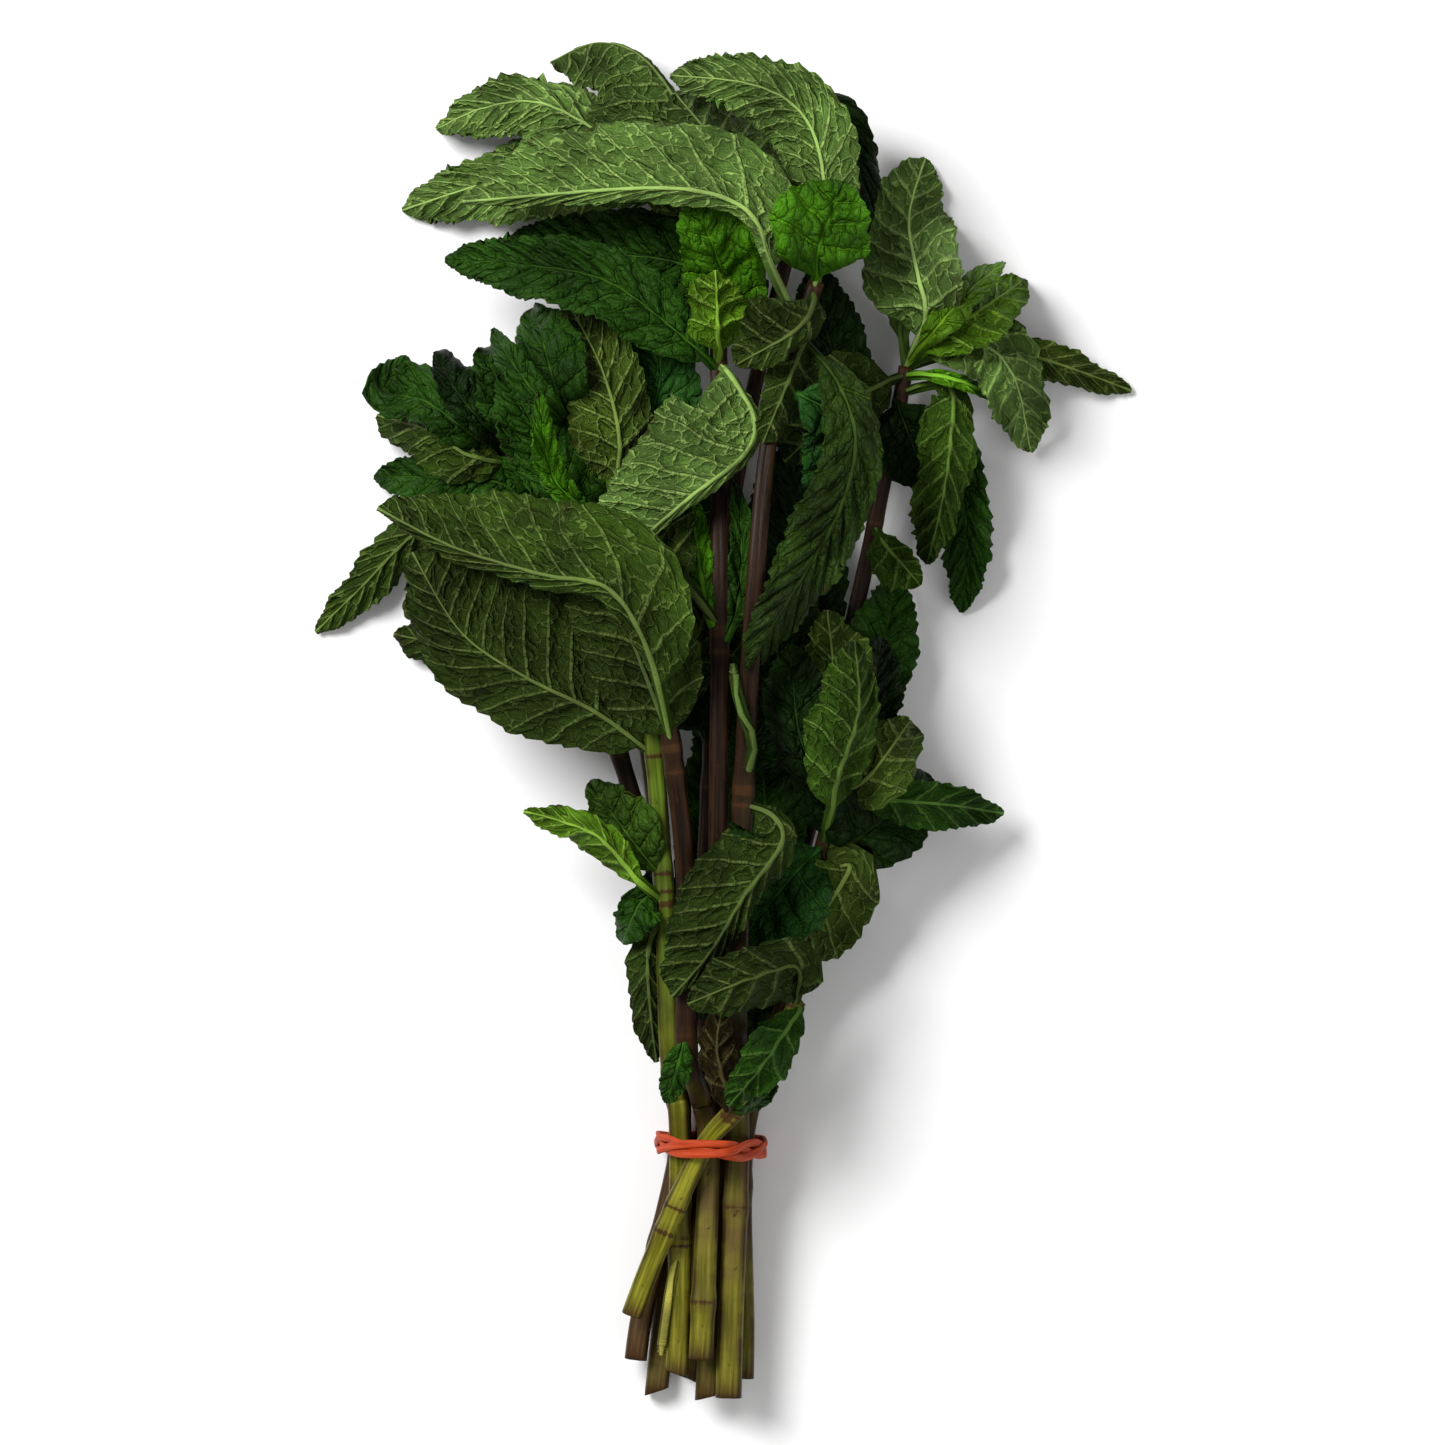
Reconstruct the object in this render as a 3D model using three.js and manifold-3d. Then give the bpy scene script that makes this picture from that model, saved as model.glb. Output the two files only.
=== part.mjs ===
// A bunch of fresh mint tied with a rubber band, lying on its side.
// Millimetres, +Z up, +Y from the cut stems to the leafy head.
import * as THREE from "three";
import Module from "manifold-3d";

const wasm = await Module();
wasm.setup();

// Plan points are laid out on a drawing of the bunch at 5.2 units to the millimetre, y downwards.
const plan = ([x, y]) => [(x - 722) / 5.2, (722 - y) / 5.2];

// Stems from the lowest to the uppermost. points: x, y on the drawing and height of the axis in mm;
// leaves: where each leaf leaves the stem, its midrib on the drawing, half widths to the left and right of
// the way it points, tilt of each half in degrees, which face is up, stalk share, fall of the tip in mm, arch in mm.
const stems = [
  {
    name: "stem_left_low", width: [4.6, 4.1, 2.6], cut: 0.35,
    points: [[690, 1390, 2.3], [696, 1330, 2.3], [704, 1150, 4.8], [711, 1060, 5.6], [690, 965, 6.5], [648, 850, 8], [600, 700, 8], [550, 560, 8], [505, 440, 8]],
    leaves: [
      [760, [[570, 700], [480, 655], [388, 632]], [36, 42], [-12, -12], "under", 0.1, 5, 2],
      [620, [[640, 560], [676, 470], [700, 400]], [50, 50], [-12, -12], "under", 0.1, 2, 2],
      [940, [[712, 860], [722, 780], [716, 700]], [44, 44], [12, 12], "top", 0.1, 2, 2],
      [1045, [[690, 985], [664, 925], [652, 862]], [32, 32], [12, 12], "top", 0.08, 2, 2],
      [700, [[545, 570], [490, 470], [440, 405]], [44, 46], [12, 10], "top", 0.1, 4, 3],
      [560, [[480, 525], [420, 525], [350, 590], [308, 630]], [24, 24], [-25, -20], "under", 0.25, 10, 3],
      [520, [[500, 482], [430, 475], [367, 472]], [30, 31], [-10, 15], "top", 0.1, 8, 3],
      [470, [[465, 453], [430, 430], [370, 410]], [34, 22], [-20, -35], "under", 0.1, 8, 4],
      [445, [[480, 440], [425, 400], [380, 385], [402, 350]], [26, 34], [20, 20], "top", 0.1, 4, 4],
      [455, [[480, 420], [452, 385], [433, 348]], [18, 32], [15, 20], "top", 0.1, 4, 3],
      [445, [[508, 420], [496, 380], [480, 345]], [26, 32], [20, 20], "top", 0.1, 4, 3],
    ],
  },
  {
    name: "stem_right_low", width: [4.6, 4.1, 2.8], cut: -0.4,
    points: [[739, 1380, 2.3], [740, 1320, 2.3], [743, 1150, 4.6], [765, 980, 7], [810, 820, 8], [850, 640, 8], [885, 480, 9], [908, 362, 10]],
    leaves: [
      [900, [[772, 850], [764, 780], [776, 700]], [46, 44], [12, 12], "top", 0.1, 2, 2],
      [1055, [[752, 990], [744, 930], [734, 872]], [38, 38], [12, 12], "top", 0.08, 2, 2],
      [700, [[805, 600], [795, 520], [800, 430]], [54, 44], [12, 12], "top", 0.1, 3, 2],
      [430, [[850, 390], [828, 330], [815, 262]], [40, 40], [12, 12], "top", 0.1, 2, 2],
      [740, [[858, 720], [882, 650], [900, 576]], [42, 36], [10, 15], "top", 0.1, 4, 2],
      [430, [[940, 420], [962, 480], [970, 540], [966, 610]], [28, 30], [20, 20], "top", 0.12, 11, 3],
      [400, [[900, 405], [930, 484]], [34, 44], [12, 12], "top", 0.1, 3, 2],
      [390, [[950, 385], [950, 440], [942, 500], [930, 562]], [24, 34], [-20, -25], "under", 0.15, 9, 4],
      [530, [[888, 545], [922, 583]], [16, 28], [-20, -15], "under", 0.15, 5, 2],
      [375, [[950, 378], [1000, 396]], [8, 8], [-30, -30], "under", 0.15, 5, 2],
      [365, [[985, 343], [1050, 355], [1138, 384]], [19, 19], [-15, -25], "under", 0.32, 11, 3],
      [366, [[950, 343], [985, 345], [1014, 378], [1035, 447]], [40, 38], [-20, -15], "under", 0.12, 10, 3],
      [368, [[945, 335], [990, 303], [1030, 272]], [32, 32], [-15, -20], "under", 0.15, 9, 4],
      [365, [[935, 330], [970, 290], [1006, 258]], [16, 16], [20, 15], "top", 0.15, 6, 2],
      [372, [[850, 400], [785, 458]], [34, 58], [-20, -15], "under", 0.12, 4, 3],
      [366, [[900, 300], [885, 240], [876, 173]], [18, 18], [15, 15], "top", 0.15, 8, 2],
      [364, [[925, 320], [916, 270], [910, 210], [928, 148]], [52, 46], [-20, -20], "under", 0.14, 9, 5],
    ],
  },
  {
    name: "stem_back", width: [4.8, 4.1, 2.8], cut: -0.45,
    points: [[655, 1402, 2.4], [661, 1340, 2.4], [678, 1150, 4.8], [681, 1065, 6.5], [702, 925, 10], [712, 750, 12], [725, 550, 13], [755, 380, 14], [800, 205, 15]],
    leaves: [
      [760, [[680, 680], [645, 600], [622, 520]], [50, 54], [12, 12], "top", 0.1, 4, 2],
      [800, [[765, 720], [782, 640], [780, 550]], [54, 44], [12, 12], "top", 0.1, 4, 2],
      [350, [[735, 310], [700, 255], [655, 205]], [54, 54], [12, 12], "top", 0.1, 4, 2],
      [330, [[690, 265], [600, 248], [505, 232]], [44, 48], [15, 15], "top", 0.14, 11, 2],
      [235, [[740, 200], [640, 165], [520, 168], [396, 200]], [46, 38], [-20, -15], "under", 0.25, 15, 3],
      [225, [[700, 172], [615, 138], [540, 98], [480, 100], [431, 119]], [44, 34], [-15, -40], "under", 0.3, 14, 4],
      [215, [[760, 185], [700, 150], [670, 92], [636, 50], [594, 37], [548, 54]], [88, 6], [-18, -60], "under", 0.16, 13, 5],
      [215, [[745, 180], [674, 95]], [56, 66], [-15, -20], "under", 0.1, 6, 4],
      [210, [[805, 140], [830, 105], [858, 150], [862, 243]], [20, 24], [-30, -30], "top", 0.2, 9, 5],
    ],
  },
  {
    name: "stem_left_mid", width: [4.6, 4.1, 2.6],
    points: [[634, 1367, 6], [643, 1310, 7], [679, 1150, 9.7], [670, 1080, 11.5], [672, 1000, 13], [660, 850, 14], [640, 700, 14], [610, 540, 14], [575, 420, 14]],
    leaves: [
      [720, [[695, 640], [722, 535]], [44, 42], [-12, -12], "under", 0.1, 3, 2],
      [560, [[565, 480], [530, 420], [505, 365]], [40, 36], [12, 12], "top", 0.1, 3, 3],
      [520, [[638, 450], [660, 370], [642, 296]], [44, 42], [15, 15], "top", 0.1, 5, 3],
      [520, [[620, 450], [602, 370], [566, 298]], [46, 40], [-15, -20], "under", 0.1, 5, 3],
      [430, [[560, 400], [545, 350], [532, 303]], [34, 38], [20, 15], "top", 0.1, 5, 3],
      [440, [[540, 400], [510, 360], [492, 328]], [16, 16], [15, 20], "top", 0.12, 5, 2],
      [520, [[555, 480], [541, 395]], [14, 14], [30, 30], "top", 0.12, 2, 4],
    ],
  },
  {
    name: "stem_right_olive", width: [4.8, 4.1, 3.0],
    points: [[742, 1386, 7], [743, 1330, 7.5], [743, 1150, 9.3], [770, 1050, 12], [800, 950, 14], [823, 850, 16], [838, 780, 17]],
    leaves: [
      [860, [[835, 790], [868, 710], [882, 636]], [50, 36], [12, 12], "top", 0.1, 4, 2],
      [865, [[872, 828], [934, 778]], [57, 44], [15, 15], "top", 0.1, 5, 2],
      [820, [[870, 800], [940, 804], [1006, 814]], [22, 25], [-15, -20], "under", 0.2, 7, 3],
      [800, [[868, 775], [910, 719]], [40, 38], [-20, -15], "under", 0.1, 5, 3],
      [785, [[836, 720], [832, 660], [826, 610]], [34, 44], [-15, -15], "under", 0.12, 5, 3],
      [800, [[800, 740], [790, 644]], [34, 38], [15, 10], "top", 0.12, 5, 3],
      [850, [[835, 780], [856, 710], [852, 640]], [44, 24], [-15, -30], "under", 0.2, 5, 5],
      [885, [[850, 866], [816, 922], [780, 975]], [44, 44], [-20, -20], "under", 0.1, 5, 3],
      [848, [[792, 876], [736, 946]], [54, 50], [15, 20], "top", 0.08, 4, 3],
    ],
  },
  {
    name: "stem_left_green", width: [4.9, 4.2, 3.7], cut: 0.35,
    points: [[676, 1379, 11.7], [678, 1320, 12.4], [679, 1150, 15], [675, 1090, 17], [669, 1050, 18], [664, 900, 20], [658, 800, 22], [652, 728, 24]],
    leaves: [
      [1250, [[670, 1290], [664, 1330], [660, 1360]], [3, 3], [0, 0], "under", 0.9, 0, 1],
      [910, [[648, 950], [650, 1010], [656, 1062]], [14, 20], [-25, -25], "under", 0.12, 5, 2],
      [895, [[642, 900], [622, 942]], [24, 20], [10, 10], "top", 0.1, 4, 2],
      [875, [[640, 850], [588, 782]], [22, 34], [20, 20], "top", 0.1, 5, 3],
      [905, [[640, 880], [600, 836], [560, 820], [523, 811]], [18, 17], [-25, -25], "under", 0.2, 7, 4],
      [757, [[597, 712], [527, 677], [462, 632], [412, 552]], [52, 92], [-18, -12], "under", 0.06, 8, 5],
    ],
  },
  {
    name: "stem_purple", width: [4.8, 4.2, 3.2], cut: -0.3,
    points: [[706, 1405, 7.5], [709, 1340, 8], [715, 1150, 9.6], [718, 1010, 15], [718, 850, 20], [719, 640, 24], [718, 345, 27]],
    leaves: [
      [640, [[705, 600], [690, 490]], [12, 14], [-30, -30], "top", 0.15, 3, 3],
      [632, [[685, 580], [657, 535], [652, 478]], [42, 38], [-15, -15], "under", 0.36, 4, 4],
      [660, [[738, 600], [740, 520], [731, 480]], [12, 14], [35, 35], "top", 0.15, 3, 3],
      [380, [[660, 320], [600, 280], [520, 264], [443, 256]], [40, 36], [15, 10], "top", 0.06, 9, 4],
      [350, [[727, 302], [715, 255], [690, 203]], [38, 44], [10, 10], "top", 0.12, 7, 3],
      [365, [[717, 325], [715, 275]], [32, 30], [-20, -25], "under", 0.15, 4, 5],
      [368, [[738, 390], [754, 424], [742, 458], [690, 500], [642, 540], [600, 572]], [8, 88], [-60, -15], "under", 0.03, 6, 7],
    ],
  },
  {
    name: "stem_centre", width: [5.0, 4.2, 3.8],
    points: [[700, 1362, 15.4], [703, 1300, 16], [708, 1150, 15.5], [700, 1100, 17.2], [686, 1037, 21.6], [685, 870, 22], [672, 750, 24], [667, 712, 25]],
    leaves: [
      [1037, [[676, 1068], [666, 1102]], [15, 15], [-10, -10], "top", 0.15, 2, 2],
      [745, [[648, 680], [620, 610], [580, 540]], [56, 62], [-15, -20], "under", 0.06, 6, 4],
      [755, [[652, 660], [612, 592], [545, 576], [455, 547], [378, 508]], [14, 74], [-50, -12], "under", 0.16, 9, 6],
    ],
  },
  {
    name: "stem_thick", width: [5.4, 4.4, 3.0],
    points: [[728, 1403, 12], [730, 1330, 12.6], [737, 1150, 14.6], [735, 1000, 18], [741, 830, 22], [750, 650, 26], [763, 480, 28], [778, 400, 29], [815, 285, 30]],
    leaves: [
      [330, [[800, 350], [762, 446]], [26, 22], [-20, -20], "under", 0.12, 5, 2],
      [400, [[832, 418], [838, 470], [822, 526]], [34, 40], [15, 15], "top", 0.12, 5, 2],
      [345, [[835, 385], [853, 440], [842, 500], [812, 560], [775, 620], [746, 670]], [31, 36], [-20, -20], "top", 0.1, 7, 5],
      [792, [[752, 745], [738, 700], [732, 664]], [3, 3], [0, 0], "under", 0.9, 0, 3],
      [295, [[825, 230], [818, 155], [795, 112], [750, 90], [670, 80]], [40, 40], [-20, 25], "under", 0.14, 9, 4],
      [335, [[770, 275], [752, 224], [700, 199], [600, 194], [462, 200]], [14, 70], [-50, -18], "under", 0.16, 11, 5],
      [300, [[808, 318], [785, 342], [735, 368]], [20, 48], [-45, -15], "under", 0.08, 5, 4],
      [292, [[818, 250], [842, 188]], [52, 46], [12, 15], "top", 0.08, 6, 4],
      [803, [[772, 815], [780, 842], [742, 895], [710, 948], [672, 994]], [16, 62], [-45, -15], "under", 0.06, 7, 6],
    ],
  },
  {
    name: "stem_diagonal", width: [4.3, 4.2, 3.0],
    points: [[631, 1318, 15.5], [655, 1255, 17.6], [702, 1150, 21], [738, 1105, 25], [765, 1060, 24], [798, 1000, 24]],
    leaves: [
      [1118, [[726, 1090], [716, 1045], [722, 1002]], [19, 20], [-10, -10], "under", 0.08, 1, 1],
      [1112, [[755, 1102], [777, 1085]], [8, 8], [-10, -10], "top", 0.2, 1, 1],
      [1004, [[797, 1012], [766, 1055], [728, 1102]], [24, 26], [-20, -20], "under", 0.08, 3, 3],
      [1010, [[797, 965], [750, 974], [688, 1000]], [34, 32], [-20, -15], "under", 0.1, 5, 4],
    ],
  },
];

const bladeThickness = 0.9;
const clearance = 2.2;

// Points evenly spaced along a smooth curve through the given ones.
function spline(points, count) {
  const fine = [];
  const at = (i) => points[Math.min(Math.max(i, 0), points.length - 1)];
  for (let i = 0; i < points.length - 1; i++)
    for (let s = 0; s < 16; s++) {
      const t = s / 16;
      const [a, b, c, d] = [at(i - 1), at(i), at(i + 1), at(i + 2)];
      fine.push(b.map((_, n) =>
        0.5 * (2 * b[n] + (c[n] - a[n]) * t + (2 * a[n] - 5 * b[n] + 4 * c[n] - d[n]) * t * t
          + (3 * b[n] - a[n] - 3 * c[n] + d[n]) * t * t * t)));
    }
  fine.push(at(points.length - 1));
  const along = [0];
  for (let i = 1; i < fine.length; i++)
    along.push(along[i - 1] + Math.hypot(fine[i][0] - fine[i - 1][0], fine[i][1] - fine[i - 1][1]));
  const total = along.at(-1);
  const result = [];
  let k = 0;
  for (let i = 0; i < count; i++) {
    const target = (total * i) / (count - 1);
    while (k < along.length - 2 && along[k + 1] < target) k++;
    const t = (target - along[k]) / (along[k + 1] - along[k]);
    result.push(fine[k].map((value, n) => value + (fine[k + 1][n] - value) * t));
  }
  result.total = total;
  return result;
}

const mix = (a, b, t) => a + (b - a) * t;
const smooth = (low, high, value) => {
  const t = Math.min(Math.max((value - low) / (high - low), 0), 1);
  return t * t * (3 - 2 * t);
};
const chance = (seed) => {
  const value = Math.sin(seed * 12.9898 + 4.1) * 43758.5453;
  return value - Math.floor(value);
};

// The pile so far, as heights on a 2 mm grid that starts just under the floor.
const [columns, rows] = [101, 151];
const emptyPile = () => new Float64Array(columns * rows).fill(-1.6);
const column = (x) => (x + 100) / 2;
const row = (y) => (y + 150) / 2;

function stamp(pile, [x, y, z]) {
  const index = Math.round(row(y)) * columns + Math.round(column(x));
  pile[index] = Math.max(pile[index], z);
}

function passed(grid, wide, tall, reach, combine) {
  const once = (source, step, length, stride, lines) => {
    const out = new Float64Array(source.length);
    for (let line = 0; line < lines; line++)
      for (let i = 0; i < length; i++) {
        const values = [];
        for (let k = -reach; k <= reach; k++) {
          const j = Math.min(Math.max(i + k, 0), length - 1);
          values.push(source[line * stride + j * step]);
        }
        out[line * stride + i * step] = combine(values);
      }
    return out;
  };
  return once(once(grid, 1, wide, wide, tall), wide, tall, 1, wide);
}
const highest = (values) => Math.max(...values);
const mean = (values) => values.reduce((a, b) => a + b, 0) / values.length;
const softened = (grid, wide, tall, reach) =>
  passed(passed(grid, wide, tall, reach, highest), wide, tall, reach, mean);

function heightAt(pile, x, y) {
  const c = Math.min(Math.max(column(x), 0), columns - 1.001);
  const r = Math.min(Math.max(row(y), 0), rows - 1.001);
  const [i, j] = [Math.floor(c), Math.floor(r)];
  const k = j * columns + i;
  return mix(mix(pile[k], pile[k + 1], c - i), mix(pile[k + columns], pile[k + columns + 1], c - i), r - j);
}

// A leaf as a sheet: u from its root to its tip, v from -1 at the left edge to 1 at the right edge.
const [alongCells, acrossCells] = [20, 10];

function makeLeaf(rootPoint, [, points, half, tilt, face, stalk, fall, arch], seed) {
  const flat = [rootPoint.slice(0, 2), ...points.map(plan)];
  const path = spline(flat, 41);
  const normals = path.map((_, i) => {
    const [a, b] = [path[Math.max(i - 1, 0)], path[Math.min(i + 1, 40)]];
    const length = Math.hypot(b[0] - a[0], b[1] - a[1]);
    return [-(b[1] - a[1]) / length, (b[0] - a[0]) / length];
  });
  const wave = [0, 1, 2, 3].map((k) => chance(seed * 7 + k));
  const lift = new Float64Array((alongCells + 1) * (acrossCells + 1));
  const leaf = { path, length: path.total, face, stalk, lift };

  leaf.halfWidth = (u, side) => {
    const s = Math.min(Math.max((u - stalk) / (1 - stalk), 0), 1);
    const blade = (half[side] / 5.2) * (s ** 0.5 * (1 - s) ** 0.62) / 0.4636;
    return Math.max(blade, 0.9 - 0.5 * s);
  };
  leaf.point = (u, v, reach = 1) => {
    const place = Math.min(u * 40, 39.9999);
    const k = Math.floor(place);
    const [x, y, nx, ny] = [0, 1].map((n) => mix(path[k][n], path[k + 1][n], place - k))
      .concat([0, 1].map((n) => mix(normals[k][n], normals[k + 1][n], place - k)));
    const side = v < 0 ? 0 : 1;
    const out = leaf.halfWidth(u, side) * Math.abs(v) * reach;
    const way = v < 0 ? 1 : -1;
    const slope = Math.tan((tilt[side] * Math.PI) / 180) * smooth(stalk * 0.5, stalk + 0.25, u);
    const rib = (face === "under" ? 0.5 : -0.2) * (1 - Math.abs(v)) * smooth(0.02, 0.2, u);
    const ripple = (0.5 + 0.7 * wave[side]) * v * v * smooth(stalk, stalk + 0.3, u)
      * Math.sin((2.2 + wave[2]) * Math.PI * 2 * u + 6 * wave[side] + 3 * side);
    const rise = rootPoint[2] - fall * u * u + arch * Math.sin(Math.PI * u ** 0.8);
    return [x + way * nx * out, y + way * ny * out, rise + slope * out + rib + ripple];
  };
  leaf.lifted = (u, v, reach = 1) => {
    const p = leaf.point(u, v, reach);
    const [a, b] = [Math.min(u * alongCells, alongCells - 1e-6), Math.min((v + 1) * 0.5 * acrossCells, acrossCells - 1e-6)];
    const [i, j] = [Math.floor(a), Math.floor(b)];
    const k = i * (acrossCells + 1) + j;
    p[2] += mix(mix(lift[k], lift[k + 1], b - j),
      mix(lift[k + acrossCells + 1], lift[k + acrossCells + 2], b - j), a - i);
    return p;
  };
  return leaf;
}

// Lifts a leaf until it lies on the pile below it, with its root left in its stem.
function layLeaf(leaf, others, own) {
  const need = new Float64Array(leaf.lift.length);
  const [wide, tall] = [acrossCells + 1, alongCells + 1];
  for (let i = 0; i < tall; i++)
    for (let j = 0; j < wide; j++) {
      const u = i / alongCells;
      const [x, y, z] = leaf.point(u, (2 * j) / acrossCells - 1, 1.05);
      need[i * wide + j] = Math.max(0, smooth(0, 0.08, u) * (heightAt(others, x, y) + clearance - z),
        smooth(0.1, 0.35, u) * (heightAt(own, x, y) + 1.6 - z));
    }
  const eased = softened(need, wide, tall, 2);
  for (let i = 0; i < tall; i++)
    for (let j = 0; j < wide; j++) {
      const k = i * wide + j;
      leaf.lift[k] = Math.max(need[k], eased[k] * smooth(0, 0.15, i / alongCells));
    }
}

function stampLeaf(leaf, pile) {
  for (let i = 0; i <= 60; i++)
    for (let j = 0; j <= 30; j++) {
      const p = leaf.lifted(i / 60, j / 15 - 1, 1.05);
      p[2] += bladeThickness;
      stamp(pile, p);
    }
}

// A stem rests on the leaves and on the stems below it. Towards the band the heights above are the packing.
const stemSteps = 120;

function stemWidth(stem, t) {
  return t < 0.45 ? mix(stem.width[0], stem.width[1], t / 0.45) : mix(stem.width[1], stem.width[2], (t - 0.45) / 0.55);
}

function layStem(stem, leafPile, laid) {
  const path = spline(stem.points.map(([x, y, z]) => [...plan([x, y]), z]), stemSteps + 1);
  const need = new Float64Array(stemSteps + 1);
  path.forEach((p, i) => {
    const radius = stemWidth(stem, i / stemSteps) / 2;
    if (p[1] < -72) return;
    need[i] = Math.max(0, heightAt(leafPile, p[0], p[1]) + clearance - 0.6 + radius - p[2]);
    for (const other of laid)
      other.path.forEach((q, k) => {
        const reach = (radius + stemWidth(other, k / stemSteps) / 2) * 1.09 + 0.35;
        const apart = Math.hypot(p[0] - q[0], p[1] - q[1]);
        if (apart < reach)
          need[i] = Math.max(need[i], q[2] + Math.sqrt(reach * reach - apart * apart) - p[2]);
      });
  });
  const eased = softened(need, stemSteps + 1, 1, 9);
  path.forEach((p, i) => { p[2] += Math.max(need[i], eased[i] * smooth(-72, -56, p[1])); });
  stem.path = path;
}

function stemAt(stem, drawnY) {
  const y = (722 - drawnY) / 5.2;
  let best = stem.path.length - 1;
  for (let i = 1; i < stem.path.length; i++)
    if (stem.path[i][1] >= y) { best = i; break; }
  return best;
}

function solid(vertices, triangles) {
  return new wasm.Manifold(new wasm.Mesh({
    numProp: 3, vertProperties: new Float32Array(vertices.flat()), triVerts: new Uint32Array(triangles.flat()),
  }));
}

// A square stem with eased corners, a little thicker where leaves grow.
function stemSolid(stem) {
  const joints = stem.leaves.map(([y]) => stemAt(stem, y));
  const stops = new Set([0, 8, stemSteps]);
  for (let i = 14; i < stemSteps - 3; i += stem.path[i][1] < -58 ? 6 : 9) stops.add(i);
  const order = [...stops].sort((a, b) => a - b);
  const [vertices, triangles] = [[], []];
  order.forEach((i) => {
    const [a, b] = [stem.path[Math.max(i - 1, 0)], stem.path[Math.min(i + 1, stemSteps)]];
    const forward = new THREE.Vector3(...a.map((value, n) => b[n] - value)).normalize();
    if (i <= 8 && stem.points[0][2] === stem.points[1][2]) forward.setZ(0).normalize();
    const across = new THREE.Vector3(0, 0, 1).cross(forward).normalize();
    const up = forward.clone().cross(across);
    const half = (stemWidth(stem, i / stemSteps) / 2) * (joints.some((joint) => Math.abs(joint - i) < 4) ? 1.12 : 1);
    const ease = half * 0.48;
    for (const [p, q] of [[half, -ease], [half, ease], [ease, half], [-ease, half], [-half, ease], [-half, -ease], [-ease, -half], [ease, -half]])
      vertices.push(new THREE.Vector3(...stem.path[i]).addScaledVector(across, p).addScaledVector(up, q)
        .addScaledVector(forward, i === 0 ? p * (stem.cut ?? 0) : 0).toArray());
  });
  for (let r = 0; r < order.length - 1; r++)
    for (let k = 0; k < 8; k++) {
      const [a, b, c, d] = [r * 8 + k, r * 8 + ((k + 1) % 8), (r + 1) * 8 + k, (r + 1) * 8 + ((k + 1) % 8)];
      triangles.push([a, c, b], [b, c, d]);
    }
  const last = (order.length - 1) * 8;
  for (let k = 1; k < 7; k++) triangles.push([0, k, k + 1], [last, last + k + 1, last + k]);
  const made = solid(vertices, triangles);
  return made.volume() < 0 ? solid(vertices, triangles.map(([a, b, c]) => [a, c, b])) : made;
}

// A leaf with teeth along both edges, given a thickness.
function leafSolid(leaf) {
  const stations = Math.round(Math.min(Math.max(leaf.length / 9, 4), 7));
  const wide = Math.max(leaf.halfWidth(0.5, 0), leaf.halfWidth(0.5, 1)) > 9.2;
  const [sheet, faces, kinds] = [[], [], []];
  const add = (u, v, reach) => sheet.push(leaf.lifted(u, v, reach)) - 1;
  const ribs = [];
  for (let i = 0; i <= stations; i++) {
    const u = i / stations;
    const tooth = u > leaf.stalk && i < stations ? 1.05 : 1;
    const across = wide ? [-1, -0.5, 0, 0.5, 1] : [-1, 0, 1];
    ribs.push(across.map((v) => add(u, v, Math.abs(v) === 1 ? tooth : 1)));
  }
  for (let i = 0; i < stations; i++) {
    const u = (i + 0.45) / stations;
    const notch = u > leaf.stalk + 0.05 ? 0.88 : 1;
    const [left, right] = [add(u, -1, notch), add(u, 1, notch)];
    const [a, b] = [ribs[i], ribs[i + 1]];
    const end = a.length - 1;
    faces.push([a[0], left, a[1]], [left, b[1], a[1]], [left, b[0], b[1]]);
    for (let k = 1; k < end - 1; k++) faces.push([a[k], b[k], a[k + 1]], [a[k + 1], b[k], b[k + 1]]);
    faces.push([a[end - 1], right, a[end]], [a[end - 1], b[end - 1], right], [right, b[end - 1], b[end]]);
  }
  const corners = sheet.map((p) => new THREE.Vector3(...p));
  const normals = corners.map(() => []);
  for (const face of faces) {
    const [a, b, c] = face.map((k) => corners[k]);
    const normal = b.clone().sub(a).cross(c.clone().sub(a)).normalize();
    face.forEach((k) => normals[k].push(normal));
  }
  const upper = [], lower = [];
  corners.forEach((p, k) => {
    const normal = normals[k].reduce((sum, n) => sum.add(n), new THREE.Vector3()).normalize();
    const least = Math.max(0.6, Math.min(...normals[k].map((n) => n.dot(normal))));
    const thick = mix(1.5, bladeThickness, k < ribs[0].length ? 0 : 1) / 2 / least;
    const way = normal.z < 0 ? -1 : 1;
    upper.push(p.clone().addScaledVector(normal, way * thick).toArray());
    lower.push(p.clone().addScaledVector(normal, -way * thick).toArray());
  });
  const count = corners.length;
  const edges = new Map();
  for (const [a, b, c] of faces)
    for (const [p, q] of [[a, b], [b, c], [c, a]]) {
      if (edges.has(`${q},${p}`)) edges.delete(`${q},${p}`);
      else edges.set(`${p},${q}`, [p, q]);
    }
  const triangles = [];
  for (const [a, b, c] of faces) triangles.push([a, c, b], [a + count, b + count, c + count]);
  for (const [a, b] of edges.values()) triangles.push([a, b, b + count], [a, b + count, a + count]);
  const made = solid([...upper, ...lower], triangles);
  return made.volume() < 0 ? solid([...upper, ...lower], triangles.map(([a, b, c]) => [a, c, b])) : made;
}

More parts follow.
